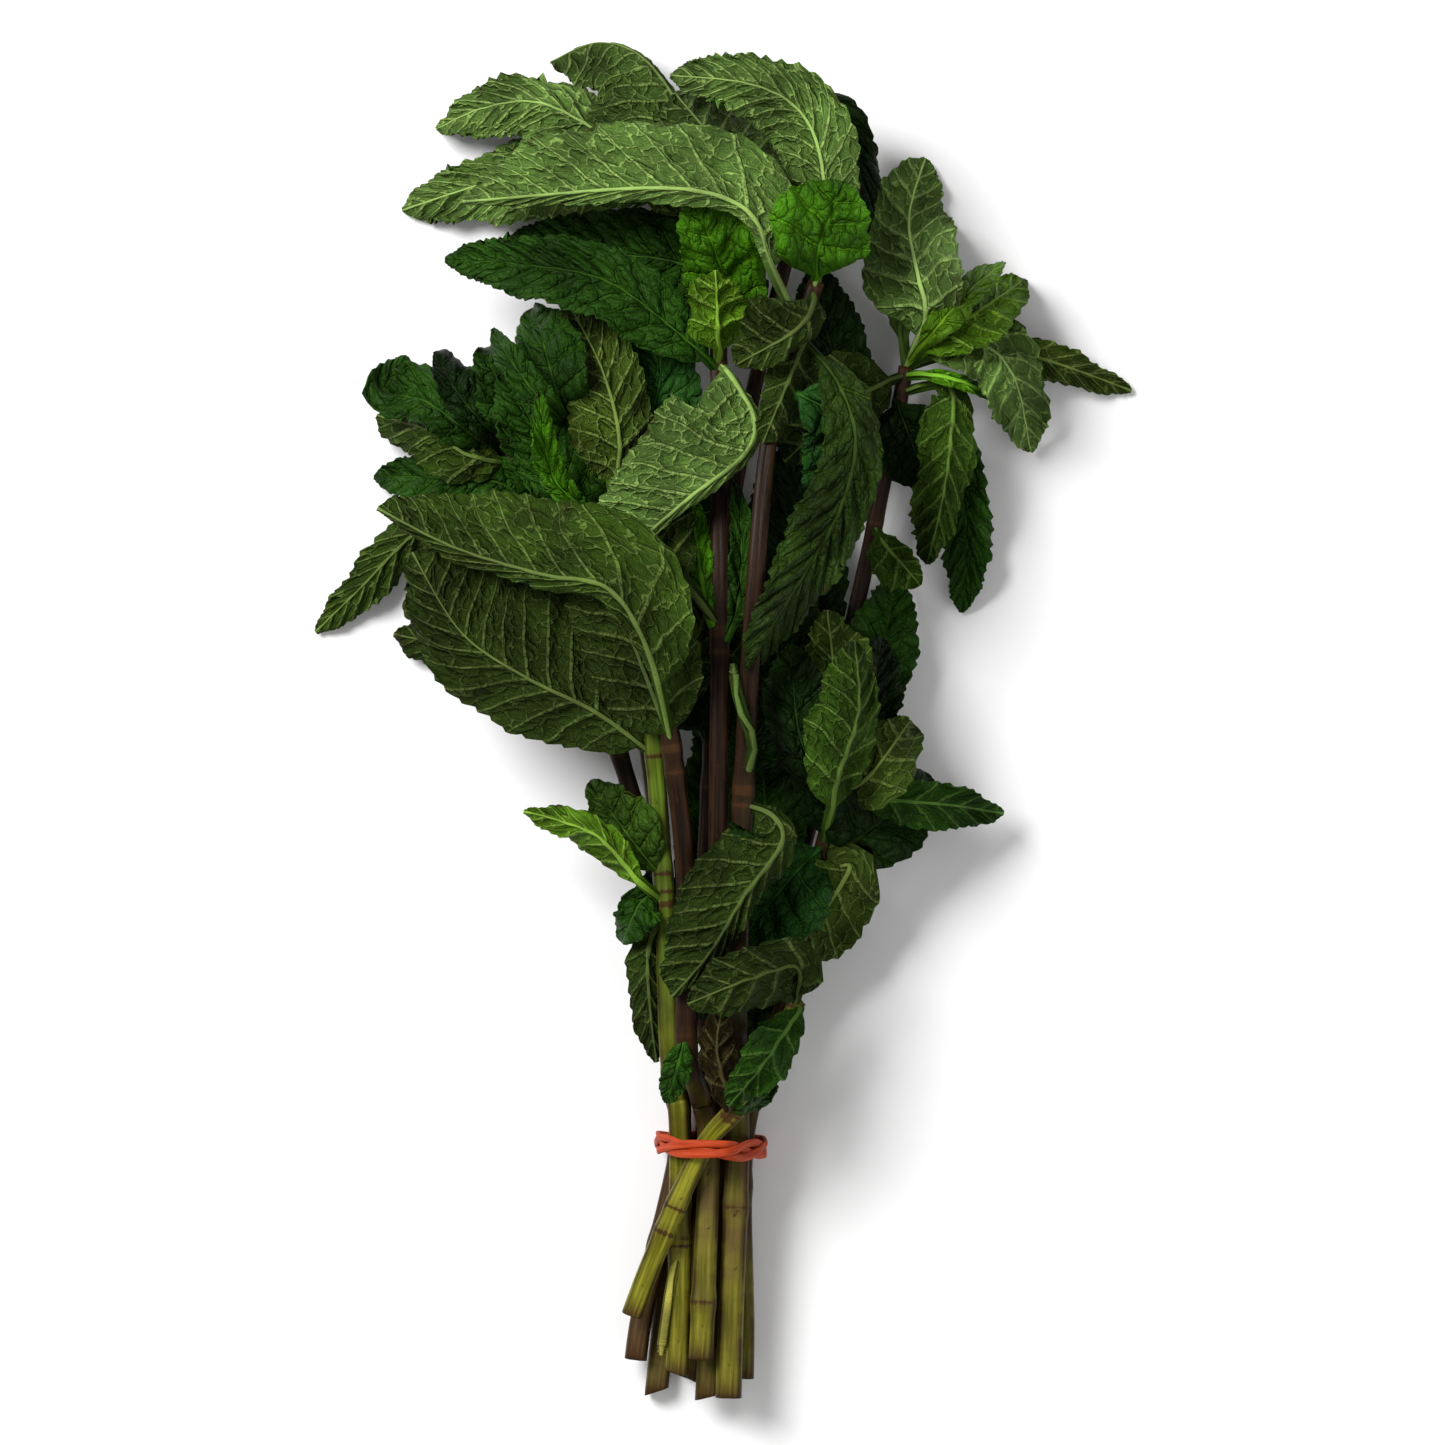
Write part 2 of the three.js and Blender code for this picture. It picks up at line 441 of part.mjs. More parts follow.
// The rubber band: two strands side by side round the stems.
function bandSolid(laid) {
  const middle = (722 - 1149) / 5.2;
  const corners = [];
  for (const stem of laid) {
    for (const k of stem.path.keys()) {
      if (Math.abs(stem.path[k][1] - middle) > 4.5) continue;
      const half = (stemWidth(stem, k / stemSteps) / 2) * 1.02;
      const [x, , z] = stem.path[k];
      for (const [p, q] of [[1, 0.48], [0.48, 1], [-0.48, 1], [-1, 0.48], [-1, -0.48], [-0.48, -1], [0.48, -1], [1, -0.48]])
        corners.push([x + p * half, z + q * half]);
    }
  }
  const strand = 0.85;
  const lobes = [[1, -1.7], [1, -0.6], [0.6, 0], [1, 0.6], [1, 1.7], [0, 2.1], [-0.8, 1.5], [-0.8, -1.5], [0, -2.1]];
  const [vertices, triangles] = [[], []];
  const steps = 24;
  for (let i = 0; i < steps; i++) {
    const angle = (i / steps) * Math.PI * 2;
    const [c, s] = [Math.cos(angle), Math.sin(angle)];
    const support = corners.reduce((best, p) => (p[0] * c + p[1] * s > best[0] * c + best[1] * s ? p : best));
    const lean = -0.055 * (support[0] + 2.7);
    for (const [out, y] of lobes)
      vertices.push([support[0] + c * (0.45 + strand + out), middle + y + lean, support[1] + s * (0.45 + strand + out)]);
  }
  const n = lobes.length;
  for (let i = 0; i < steps; i++)
    for (let k = 0; k < n; k++) {
      const next = (i + 1) % steps;
      const [a, b, c, d] = [i * n + k, i * n + ((k + 1) % n), next * n + k, next * n + ((k + 1) % n)];
      triangles.push([a, b, c], [b, d, c]);
    }
  const made = solid(vertices, triangles);
  return made.volume() < 0 ? solid(vertices, triangles.map(([a, b, c]) => [a, c, b])) : made;
}

const laid = [];
const made = [];
let others = emptyPile();
let seed = 1;
for (const stem of stems) {
  layStem(stem, softened(others, columns, rows, 1), laid);
  const resting = softened(others, columns, rows, 2);
  const own = emptyPile();
  stem.path.forEach((p, i) => stamp(own, [p[0], p[1], p[2] + stemWidth(stem, i / stemSteps) / 2]));
  let body = stemSolid(stem);
  const leaves = stem.leaves.map((entry) => {
    const leaf = makeLeaf(stem.path[stemAt(stem, entry[0])], entry, seed++);
    layLeaf(leaf, resting, softened(own, columns, rows, 1));
    stampLeaf(leaf, own);
    return leaf;
  });
  for (const leaf of leaves) {
    body = body.add(leafSolid(leaf));
    stampLeaf(leaf, others);
  }
  stem.path.forEach((p, i) => stamp(others, [p[0], p[1], p[2] + stemWidth(stem, i / stemSteps) / 2]));
  laid.push(stem);
  // Fused leaves can shut a small pocket between them, which is filled.
  const shells = body.simplify(0.02).decompose().filter((shell) => shell.volume() > 0);
  body = shells.reduce((best, shell) => (shell.volume() > best.volume() ? shell : best));
  stem.shells = shells.length;
  made.push([stem.name, body, 0x6f8a3a]);
}
made.push(["rubber_band", bandSolid(laid), 0xd9552e]);

const bounds = made.map(([, body]) => body.boundingBox());
const low = [0, 1, 2].map((n) => Math.min(...bounds.map((b) => b.min[n])));
const high = [0, 1, 2].map((n) => Math.max(...bounds.map((b) => b.max[n])));
const shift = [-(low[0] + high[0]) / 2, -(low[1] + high[1]) / 2, -low[2]];

const bunch = new THREE.Group();
for (const [name, body, colour] of made) {
  const mesh = body.getMesh();
  const geometry = new THREE.BufferGeometry();
  const positions = Float32Array.from(mesh.vertProperties, (value, k) => value + shift[k % 3]);
  geometry.setAttribute("position", new THREE.BufferAttribute(positions, 3));
  geometry.setIndex(new THREE.BufferAttribute(new Uint32Array(mesh.triVerts), 1));
  geometry.computeVertexNormals();
  const part = new THREE.Mesh(geometry, new THREE.MeshStandardMaterial({ color: colour, flatShading: true }));
  part.name = name;
  bunch.add(part);
}
export default bunch;
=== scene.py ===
import math

import bmesh
import bpy
import numpy as np
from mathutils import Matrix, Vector


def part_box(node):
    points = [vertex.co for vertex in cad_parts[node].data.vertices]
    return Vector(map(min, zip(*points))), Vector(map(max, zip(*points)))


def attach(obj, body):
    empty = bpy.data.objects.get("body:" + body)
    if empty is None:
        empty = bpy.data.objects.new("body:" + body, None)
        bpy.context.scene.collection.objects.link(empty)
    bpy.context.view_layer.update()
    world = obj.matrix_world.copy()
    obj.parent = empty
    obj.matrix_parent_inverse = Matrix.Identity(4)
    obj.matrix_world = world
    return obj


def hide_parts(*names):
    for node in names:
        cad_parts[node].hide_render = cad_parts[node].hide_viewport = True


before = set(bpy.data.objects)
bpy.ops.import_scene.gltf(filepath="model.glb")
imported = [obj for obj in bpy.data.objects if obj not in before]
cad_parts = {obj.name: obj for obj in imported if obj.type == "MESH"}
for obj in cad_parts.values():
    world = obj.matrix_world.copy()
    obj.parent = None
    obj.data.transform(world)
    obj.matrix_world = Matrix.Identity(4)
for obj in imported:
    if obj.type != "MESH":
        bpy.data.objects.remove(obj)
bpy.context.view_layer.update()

# The plan of the bunch is drawn at 5.2 units to the millimetre, y downwards, with its origin at 722, 722.
drawing = {"scale": 5.2, "middle": 722, "side": 1445}

# Stems from the lowest to the uppermost, with the same numbers as in part.mjs. width in mm and tones, from 0 pale
# green to 1 purple brown: at the cut end, at 0.45 of the length and at the top. cut: slant of the cut end.
# joints: y on the plan of joints without leaves. points: x and y on the plan, height of the axis in mm.
# A leaf has the values that leafColumns names: y on the plan where it leaves the stem, midrib on the plan, half
# widths to the left and right of the way it points, tilt of each half in degrees, face that is up, share that is
# stalk, fall of the tip and arch in mm, look.
leafColumns = ("drawnY", "midrib", "half", "tilt", "face", "stalk", "fall", "arch", "look")
stems = [
    {"name": "stem_left_low", "width": [4.6, 4.1, 2.6], "cut": 0.35, "tones": [0.62, 0.85, 0.9],
     "points": [[690, 1390, 2.3], [696, 1330, 2.3], [704, 1150, 4.8], [711, 1060, 5.6], [690, 965, 6.5],
                [648, 850, 8], [600, 700, 8], [550, 560, 8], [505, 440, 8]],
     "leaves": [
        [760, [[570, 700], [480, 655], [388, 632]], [36, 42], [-12, -12], "under", 0.1, 5, 2, "olive"],
        [620, [[640, 560], [676, 470], [700, 400]], [50, 50], [-12, -12], "under", 0.1, 2, 2, "dark"],
        [940, [[712, 860], [722, 780], [716, 700]], [44, 44], [12, 12], "top", 0.1, 2, 2, "dark"],
        [1045, [[690, 985], [664, 925], [652, 862]], [32, 32], [12, 12], "top", 0.08, 2, 2, "deep"],
        [700, [[545, 570], [490, 470], [440, 405]], [44, 46], [12, 10], "top", 0.1, 4, 3, "deep"],
        [560, [[480, 525], [420, 525], [350, 590], [308, 630]], [24, 24], [-25, -20], "under", 0.25, 10, 3, "pale"],
        [520, [[500, 482], [430, 475], [367, 472]], [30, 31], [-10, 15], "top", 0.1, 8, 3, "dark"],
        [470, [[465, 453], [430, 430], [370, 410]], [34, 22], [-20, -35], "under", 0.1, 8, 4, "pale"],
        [445, [[480, 440], [425, 400], [380, 385], [402, 350]], [26, 34], [20, 20], "top", 0.1, 4, 4, "dark"],
        [455, [[480, 420], [452, 385], [433, 348]], [18, 32], [15, 20], "top", 0.1, 4, 3, "deep"],
        [445, [[508, 420], [496, 380], [480, 345]], [26, 32], [20, 20], "top", 0.1, 4, 3, "dark"],
     ]},
    {"name": "stem_right_low", "width": [4.6, 4.1, 2.8], "cut": -0.4, "tones": [0.5, 0.75, 0.95],
     "points": [[739, 1380, 2.3], [740, 1320, 2.3], [743, 1150, 4.6], [765, 980, 7], [810, 820, 8], [850, 640, 8],
                [885, 480, 9], [908, 362, 10]],
     "leaves": [
        [900, [[772, 850], [764, 780], [776, 700]], [46, 44], [12, 12], "top", 0.1, 2, 2, "dark"],
        [1055, [[752, 990], [744, 930], [734, 872]], [38, 38], [12, 12], "top", 0.08, 2, 2, "deep"],
        [700, [[805, 600], [795, 520], [800, 430]], [54, 44], [12, 12], "top", 0.1, 3, 2, "deep"],
        [430, [[850, 390], [828, 330], [815, 262]], [40, 40], [12, 12], "top", 0.1, 2, 2, "deep"],
        [740, [[858, 720], [882, 650], [900, 576]], [42, 36], [10, 15], "top", 0.1, 4, 2, "dark"],
        [430, [[940, 420], [962, 480], [970, 540], [966, 610]], [28, 30], [20, 20], "top", 0.12, 11, 3, "dark"],
        [400, [[900, 405], [930, 484]], [34, 44], [12, 12], "top", 0.1, 3, 2, "deep"],
        [390, [[950, 385], [950, 440], [942, 500], [930, 562]], [24, 34], [-20, -25], "under", 0.15, 9, 4, "spring"],
        [530, [[888, 545], [922, 583]], [16, 28], [-20, -15], "under", 0.15, 5, 2, "spring"],
        [375, [[950, 378], [1000, 396]], [8, 8], [-30, -30], "under", 0.15, 5, 2, "fresh"],
        [365, [[985, 343], [1050, 355], [1138, 384]], [19, 19], [-15, -25], "under", 0.32, 11, 3, "grey"],
        [366, [[950, 343], [985, 345], [1014, 378], [1035, 447]],
         [40, 38], [-20, -15], "under", 0.12, 10, 3, "light"],
        [368, [[945, 335], [990, 303], [1030, 272]], [32, 32], [-15, -20], "under", 0.15, 9, 4, "bright"],
        [365, [[935, 330], [970, 290], [1006, 258]], [16, 16], [20, 15], "top", 0.15, 6, 2, "bright"],
        [372, [[850, 400], [785, 458]], [34, 58], [-20, -15], "under", 0.12, 4, 3, "olive"],
        [366, [[900, 300], [885, 240], [876, 173]], [18, 18], [15, 15], "top", 0.15, 8, 2, "sage"],
        [364, [[925, 320], [916, 270], [910, 210], [928, 148]], [52, 46], [-20, -20], "under", 0.14, 9, 5, "light"],
     ]},
    {"name": "stem_back", "width": [4.8, 4.1, 2.8], "cut": -0.45, "tones": [0.6, 0.85, 0.95], "joints": [1290],
     "points": [[655, 1402, 2.4], [661, 1340, 2.4], [678, 1150, 4.8], [681, 1065, 6.5], [702, 925, 10],
                [712, 750, 12], [725, 550, 13], [755, 380, 14], [800, 205, 15]],
     "leaves": [
        [760, [[680, 680], [645, 600], [622, 520]], [50, 54], [12, 12], "top", 0.1, 4, 2, "deep"],
        [800, [[765, 720], [782, 640], [780, 550]], [54, 44], [12, 12], "top", 0.1, 4, 2, "deep"],
        [350, [[735, 310], [700, 255], [655, 205]], [54, 54], [12, 12], "top", 0.1, 4, 2, "deep"],
        [330, [[690, 265], [600, 248], [505, 232]], [44, 48], [15, 15], "top", 0.14, 11, 2, "dark"],
        [235, [[740, 200], [640, 165], [520, 168], [396, 200]], [46, 38], [-20, -15], "under", 0.25, 15, 3, "light"],
        [225, [[700, 172], [615, 138], [540, 98], [480, 100], [431, 119]],
         [44, 34], [-15, -40], "under", 0.3, 14, 4, "light"],
        [215, [[760, 185], [700, 150], [670, 92], [636, 50], [594, 37], [548, 54]],
         [88, 6], [-18, -60], "under", 0.16, 13, 5, "sage"],
        [215, [[745, 180], [674, 95]], [56, 66], [-15, -20], "under", 0.1, 6, 4, "sage"],
        [210, [[805, 140], [830, 105], [858, 150], [862, 243]], [20, 24], [-30, -30], "top", 0.2, 9, 5, "deep"],
     ]},
    {"name": "stem_left_mid", "width": [4.6, 4.1, 2.6], "tones": [0.85, 0.9, 0.9], "joints": [1250],
     "points": [[634, 1367, 6], [643, 1310, 7], [679, 1150, 9.7], [670, 1080, 11.5], [672, 1000, 13],
                [660, 850, 14], [640, 700, 14], [610, 540, 14], [575, 420, 14]],
     "leaves": [
        [720, [[695, 640], [722, 535]], [44, 42], [-12, -12], "under", 0.1, 3, 2, "olive"],
        [560, [[565, 480], [530, 420], [505, 365]], [40, 36], [12, 12], "top", 0.1, 3, 3, "dark"],
        [520, [[638, 450], [660, 370], [642, 296]], [44, 42], [15, 15], "top", 0.1, 5, 3, "blue"],
        [520, [[620, 450], [602, 370], [566, 298]], [46, 40], [-15, -20], "under", 0.1, 5, 3, "grey"],
        [430, [[560, 400], [545, 350], [532, 303]], [34, 38], [20, 15], "top", 0.1, 5, 3, "dark"],
        [440, [[540, 400], [510, 360], [492, 328]], [16, 16], [15, 20], "top", 0.12, 5, 2, "dark"],
        [520, [[555, 480], [541, 395]], [14, 14], [30, 30], "top", 0.12, 2, 4, "green"],
     ]},
    {"name": "stem_right_olive", "width": [4.8, 4.1, 3.0], "tones": [0.42, 0.7, 0.75], "joints": [1190],
     "points": [[742, 1386, 7], [743, 1330, 7.5], [743, 1150, 9.3], [770, 1050, 12], [800, 950, 14],
                [823, 850, 16], [838, 780, 17]],
     "leaves": [
        [860, [[835, 790], [868, 710], [882, 636]], [50, 36], [12, 12], "top", 0.1, 4, 2, "deep"],
        [865, [[872, 828], [934, 778]], [57, 44], [15, 15], "top", 0.1, 5, 2, "deep"],
        [820, [[870, 800], [940, 804], [1006, 814]], [22, 25], [-15, -20], "under", 0.2, 7, 3, "dark"],
        [800, [[868, 775], [910, 719]], [40, 38], [-20, -15], "under", 0.1, 5, 3, "grey"],
        [785, [[836, 720], [832, 660], [826, 610]], [34, 44], [-15, -15], "under", 0.12, 5, 3, "grey"],
        [800, [[800, 740], [790, 644]], [34, 38], [15, 10], "top", 0.12, 5, 3, "deep"],
        [850, [[835, 780], [856, 710], [852, 640]], [44, 24], [-15, -30], "under", 0.2, 5, 5, "spring"],
        [885, [[850, 866], [816, 922], [780, 975]], [44, 44], [-20, -20], "under", 0.1, 5, 3, "grey"],
        [848, [[792, 876], [736, 946]], [54, 50], [15, 20], "top", 0.08, 4, 3, "blue"],
     ]},
    {"name": "stem_left_green", "width": [4.9, 4.2, 3.7], "cut": 0.35, "tones": [0.35, 0.35, 0.3],
     "joints": [1240, 905],
     "points": [[676, 1379, 11.7], [678, 1320, 12.4], [679, 1150, 15], [675, 1090, 17], [669, 1050, 18],
                [664, 900, 20], [658, 800, 22], [652, 728, 24]],
     "leaves": [
        [1250, [[670, 1290], [664, 1330], [660, 1360]], [3, 3], [0, 0], "under", 0.9, 0, 1, "straw"],
        [910, [[648, 950], [650, 1010], [656, 1062]], [14, 20], [-25, -25], "under", 0.12, 5, 2, "olive"],
        [895, [[642, 900], [622, 942]], [24, 20], [10, 10], "top", 0.1, 4, 2, "dark"],
        [875, [[640, 850], [588, 782]], [22, 34], [20, 20], "top", 0.1, 5, 3, "spring"],
        [905, [[640, 880], [600, 836], [560, 820], [523, 811]], [18, 17], [-25, -25], "under", 0.2, 7, 4, "bright"],
        [757, [[597, 712], [527, 677], [462, 632], [412, 552]], [52, 92], [-18, -12], "under", 0.06, 8, 5, "olive"],
     ]},
    {"name": "stem_purple", "width": [4.8, 4.2, 3.2], "cut": -0.3, "tones": [0.55, 0.9, 1.15], "joints": [1200, 632],
     "points": [[706, 1405, 7.5], [709, 1340, 8], [715, 1150, 9.6], [718, 1010, 15], [718, 850, 20],
                [719, 640, 24], [718, 345, 27]],
     "leaves": [
        [640, [[705, 600], [690, 490]], [12, 14], [-30, -30], "top", 0.15, 3, 3, "green"],
        [632, [[685, 580], [657, 535], [652, 478]], [42, 38], [-15, -15], "under", 0.36, 4, 4, "olive"],
        [660, [[738, 600], [740, 520], [731, 480]], [12, 14], [35, 35], "top", 0.15, 3, 3, "dark"],
        [380, [[660, 320], [600, 280], [520, 264], [443, 256]], [40, 36], [15, 10], "top", 0.06, 9, 4, "dark"],
        [350, [[727, 302], [715, 255], [690, 203]], [38, 44], [10, 10], "top", 0.12, 7, 3, "green"],
        [365, [[717, 325], [715, 275]], [32, 30], [-20, -25], "under", 0.15, 4, 5, "bright"],
        [368, [[738, 390], [754, 424], [742, 458], [690, 500], [642, 540], [600, 572]],
         [8, 88], [-60, -15], "under", 0.03, 6, 7, "light"],
     ]},
    {"name": "stem_centre", "width": [5.0, 4.2, 3.8], "tones": [0.34, 0.7, 1.05], "joints": [1305, 1037, 770],
     "points": [[700, 1362, 15.4], [703, 1300, 16], [708, 1150, 15.5], [700, 1100, 17.2], [686, 1037, 21.6],
                [685, 870, 22], [672, 750, 24], [667, 712, 25]],
     "leaves": [
        [1037, [[676, 1068], [666, 1102]], [15, 15], [-10, -10], "top", 0.15, 2, 2, "dark"],
        [745, [[648, 680], [620, 610], [580, 540]], [56, 62], [-15, -20], "under", 0.06, 6, 4, "olive"],
        [755, [[652, 660], [612, 592], [545, 576], [455, 547], [378, 508]],
         [14, 74], [-50, -12], "under", 0.16, 9, 6, "pale"],
     ]},
    {"name": "stem_thick", "width": [5.4, 4.4, 3.0], "tones": [0.4, 0.8, 1.05], "joints": [790, 1210],
     "points": [[728, 1403, 12], [730, 1330, 12.6], [737, 1150, 14.6], [735, 1000, 18], [741, 830, 22],
                [750, 650, 26], [763, 480, 28], [778, 400, 29], [815, 285, 30]],
     "leaves": [
        [330, [[800, 350], [762, 446]], [26, 22], [-20, -20], "under", 0.12, 5, 2, "olive"],
        [400, [[832, 418], [838, 470], [822, 526]], [34, 40], [15, 15], "top", 0.12, 5, 2, "blue"],
        [345, [[835, 385], [853, 440], [842, 500], [812, 560], [775, 620], [746, 670]],
         [31, 36], [-20, -20], "top", 0.1, 7, 5, "moss"],
        [792, [[752, 745], [738, 700], [732, 664]], [3, 3], [0, 0], "under", 0.9, 0, 3, "moss"],
        [295, [[825, 230], [818, 155], [795, 112], [750, 90], [670, 80]],
         [40, 40], [-20, 25], "under", 0.14, 9, 4, "light"],
        [335, [[770, 275], [752, 224], [700, 199], [600, 194], [462, 200]],
         [14, 70], [-50, -18], "under", 0.16, 11, 5, "light"],
        [300, [[808, 318], [785, 342], [735, 368]], [20, 48], [-45, -15], "under", 0.08, 5, 4, "olive"],
        [292, [[818, 250], [842, 188]], [52, 46], [12, 15], "top", 0.08, 6, 4, "green"],
        [803, [[772, 815], [780, 842], [742, 895], [710, 948], [672, 994]],
         [16, 62], [-45, -15], "under", 0.06, 7, 6, "olive"],
     ]},
    {"name": "stem_diagonal", "width": [4.3, 4.2, 3.0], "tones": [-0.1, 0.0, 0.3], "joints": [1208, 1233],
     "points": [[631, 1318, 15.5], [655, 1255, 17.6], [702, 1150, 21], [738, 1105, 25], [765, 1060, 24],
                [798, 1000, 24]],
     "leaves": [
        [1118, [[726, 1090], [716, 1045], [722, 1002]], [19, 20], [-10, -10], "under", 0.08, 1, 1, "withered"],
        [1112, [[755, 1102], [777, 1085]], [8, 8], [-10, -10], "top", 0.2, 1, 1, "dark"],
        [1004, [[797, 1012], [766, 1055], [728, 1102]], [24, 26], [-20, -20], "under", 0.08, 3, 3, "dark"],
        [1010, [[797, 965], [750, 974], [688, 1000]], [34, 32], [-20, -15], "under", 0.1, 5, 4, "olive"],
     ]},
]

# How stems and leaves lie on each other, in mm. The pile's cells start left and low of the middle.
drape = {"clearance": 2.2, "ownClearance": 1.6, "stemSink": 0.6, "bladeThickness": 0.9, "stemSteps": 120,
         "leafSteps": 40, "alongCells": 20, "acrossCells": 10, "rim": 1.05, "cell": 2, "left": 100, "low": 150,
         "columns": 101, "rows": 151, "bare": -1.6, "stemSpread": 1.09, "stemGap": 0.35, "stemMiddle": 0.45,
         "ease": 9, "boundBelow": -72, "freeAbove": -56}
outline = {"rootPower": 0.5, "tipPower": 0.62, "peak": 0.4636, "stalkHalf": 0.9, "narrowing": 0.5}


def plan(point):
    return [(point[0] - drawing["middle"]) / drawing["scale"], (drawing["middle"] - point[1]) / drawing["scale"]]


def smooth(low, high, value):
    t = np.clip((value - low) / (high - low), 0, 1)
    return t * t * (3 - 2 * t)


def chance(seed):
    value = math.sin(seed * 12.9898 + 4.1) * 43758.5453
    return value - math.floor(value)


# A smooth line through the points, as even steps along its plan, and its length.
def spline(points, count, steps=16):
    points = [np.array(p, float) for p in points]
    last = len(points) - 1
    fine = []
    for i in range(last):
        a, b, c, d = (points[min(max(k, 0), last)] for k in range(i - 1, i + 3))
        for t in np.arange(steps) / steps:
            fine.append(0.5 * (2 * b + (c - a) * t + (2 * a - 5 * b + 4 * c - d) * t * t
                               + (3 * b - a - 3 * c + d) * t ** 3))
    fine = np.array(fine + [points[-1]])
    along = np.concatenate([[0], np.cumsum(np.hypot(*(fine[1:, :2] - fine[:-1, :2]).T))])
    targets = np.linspace(0, along[-1], count)
    return np.stack([np.interp(targets, along, column) for column in fine.T], 1), along[-1]


def softened(grid, reach):
    for combine in (np.max, np.mean):
        for axis in (1, 0):
            length = grid.shape[axis]
            if length == 1:
                continue
            pads = [(0, 0), (0, 0)]
            pads[axis] = (reach, reach)
            padded = np.pad(grid, pads, mode="edge")
            grid = combine([np.take(padded, range(k, k + length), axis) for k in range(2 * reach + 1)], axis=0)
    return grid


# A pile is the height of what lies on each cell of the floor.
def emptyPile():
    return np.full((drape["rows"], drape["columns"]), drape["bare"])


def stamp(pile, points, extra):
    column = np.floor((points[..., 0] + drape["left"]) / drape["cell"] + 0.5).astype(int)
    row = np.floor((points[..., 1] + drape["low"]) / drape["cell"] + 0.5).astype(int)
    np.maximum.at(pile, (row.ravel(), column.ravel()), (points[..., 2] + extra).ravel())


def betweenCells(grid, i, j, a, b):
    return ((grid[i, j] * (1 - b) + grid[i, j + 1] * b) * (1 - a)
            + (grid[i + 1, j] * (1 - b) + grid[i + 1, j + 1] * b) * a)


def heightAt(pile, x, y):
    c = np.clip((x + drape["left"]) / drape["cell"], 0, drape["columns"] - 1.001)
    r = np.clip((y + drape["low"]) / drape["cell"], 0, drape["rows"] - 1.001)
    i, j = np.floor(c).astype(int), np.floor(r).astype(int)
    return betweenCells(pile, j, i, r - j, c - i)


# A leaf is a sheet: u from its root to its tip, v from -1 at the left edge to 1 at the right edge.
def makeLeaf(root, entry, seed):
    leaf = dict(zip(leafColumns, entry), root=root, seed=seed, wave=[chance(seed * 7 + k) for k in range(4)])
    path, leaf["length"] = spline([root[:2]] + [plan(p) for p in leaf["midrib"]], drape["leafSteps"] + 1)
    ahead = np.concatenate([path[1:], path[-1:]]) - np.concatenate([path[:1], path[:-1]])
    ahead /= np.hypot(*ahead.T)[:, None]
    leaf["path"], leaf["normals"] = path, np.stack([-ahead[:, 1], ahead[:, 0]], 1)
    leaf["lift"] = np.zeros((drape["alongCells"] + 1, drape["acrossCells"] + 1))
    return leaf


def halfWidth(leaf, u, side):
    s = np.clip((u - leaf["stalk"]) / (1 - leaf["stalk"]), 0, 1)
    swelling = s ** outline["rootPower"] * (1 - s) ** outline["tipPower"]
    blade = (leaf["half"][side] / drawing["scale"]) * swelling / outline["peak"]
    return np.maximum(blade, outline["stalkHalf"] - outline["narrowing"] * s)


def leafPoint(leaf, u, v, reach=1.0):
    place = np.minimum(u * drape["leafSteps"], drape["leafSteps"] - 0.0001)
    k = np.floor(place).astype(int)
    t = (place - k)[..., None]
    spot = leaf["path"][k] * (1 - t) + leaf["path"][k + 1] * t
    normal = leaf["normals"][k] * (1 - t) + leaf["normals"][k + 1] * t
    stalk, wave, sides = leaf["stalk"], leaf["wave"], []
    for side, way in ((0, 1), (1, -1)):
        out = halfWidth(leaf, u, side) * np.abs(v) * reach
        slope = math.tan(math.radians(leaf["tilt"][side])) * smooth(stalk * 0.5, stalk + 0.25, u)
        ripple = ((0.5 + 0.7 * wave[side]) * v * v * smooth(stalk, stalk + 0.3, u)
                  * np.sin((2.2 + wave[2]) * math.pi * 2 * u + 6 * wave[side] + 3 * side))
        flat = spot + way * normal * out[..., None]
        sides.append(np.concatenate([flat, (slope * out + ripple)[..., None]], -1))
    point = np.where((v < 0)[..., None], sides[0], sides[1])
    rib = (0.5 if leaf["face"] == "under" else -0.2) * (1 - np.abs(v)) * smooth(0.02, 0.2, u)
    point[..., 2] += leaf["root"][2] - leaf["fall"] * u * u + leaf["arch"] * np.sin(math.pi * u ** 0.8) + rib
    return point


def liftedPoint(leaf, u, v, reach=1.0):
    point = leafPoint(leaf, u, v, reach)
    a = np.minimum(u * drape["alongCells"], drape["alongCells"] - 1e-6)
    b = np.clip((v + 1) * 0.5 * drape["acrossCells"], 0, drape["acrossCells"] - 1e-6)
    i, j = np.floor(a).astype(int), np.floor(b).astype(int)
    point[..., 2] += betweenCells(leaf["lift"], i, j, a - i, b - j)
    return point


# Lifts a leaf off what lies below it, and off the leaves of its own stem.
def layLeaf(leaf, others, own):
    u = np.linspace(0, 1, drape["alongCells"] + 1)[:, None]
    v = np.linspace(-1, 1, drape["acrossCells"] + 1)[None, :]
    x, y, z = np.moveaxis(leafPoint(leaf, u, v, drape["rim"]), -1, 0)
    need = smooth(0, 0.08, u) * (heightAt(others, x, y) + drape["clearance"] - z)
    ownNeed = smooth(0.1, 0.35, u) * (heightAt(own, x, y) + drape["ownClearance"] - z)
    need = np.maximum(np.maximum(need, 0), ownNeed)
    leaf["lift"] = np.maximum(need, softened(need, 2) * smooth(0, 0.15, u))


def stampLeaf(leaf, pile):
    u, v = np.linspace(0, 1, 61)[:, None], np.linspace(-1, 1, 31)[None, :]
    stamp(pile, liftedPoint(leaf, u, v, drape["rim"]), drape["bladeThickness"])


def stemWidth(stem, t):
    turn = drape["stemMiddle"]
    low, middle, high = stem["width"]
    return np.where(t < turn, low + (middle - low) * t / turn, middle + (high - middle) * (t - turn) / (1 - turn))


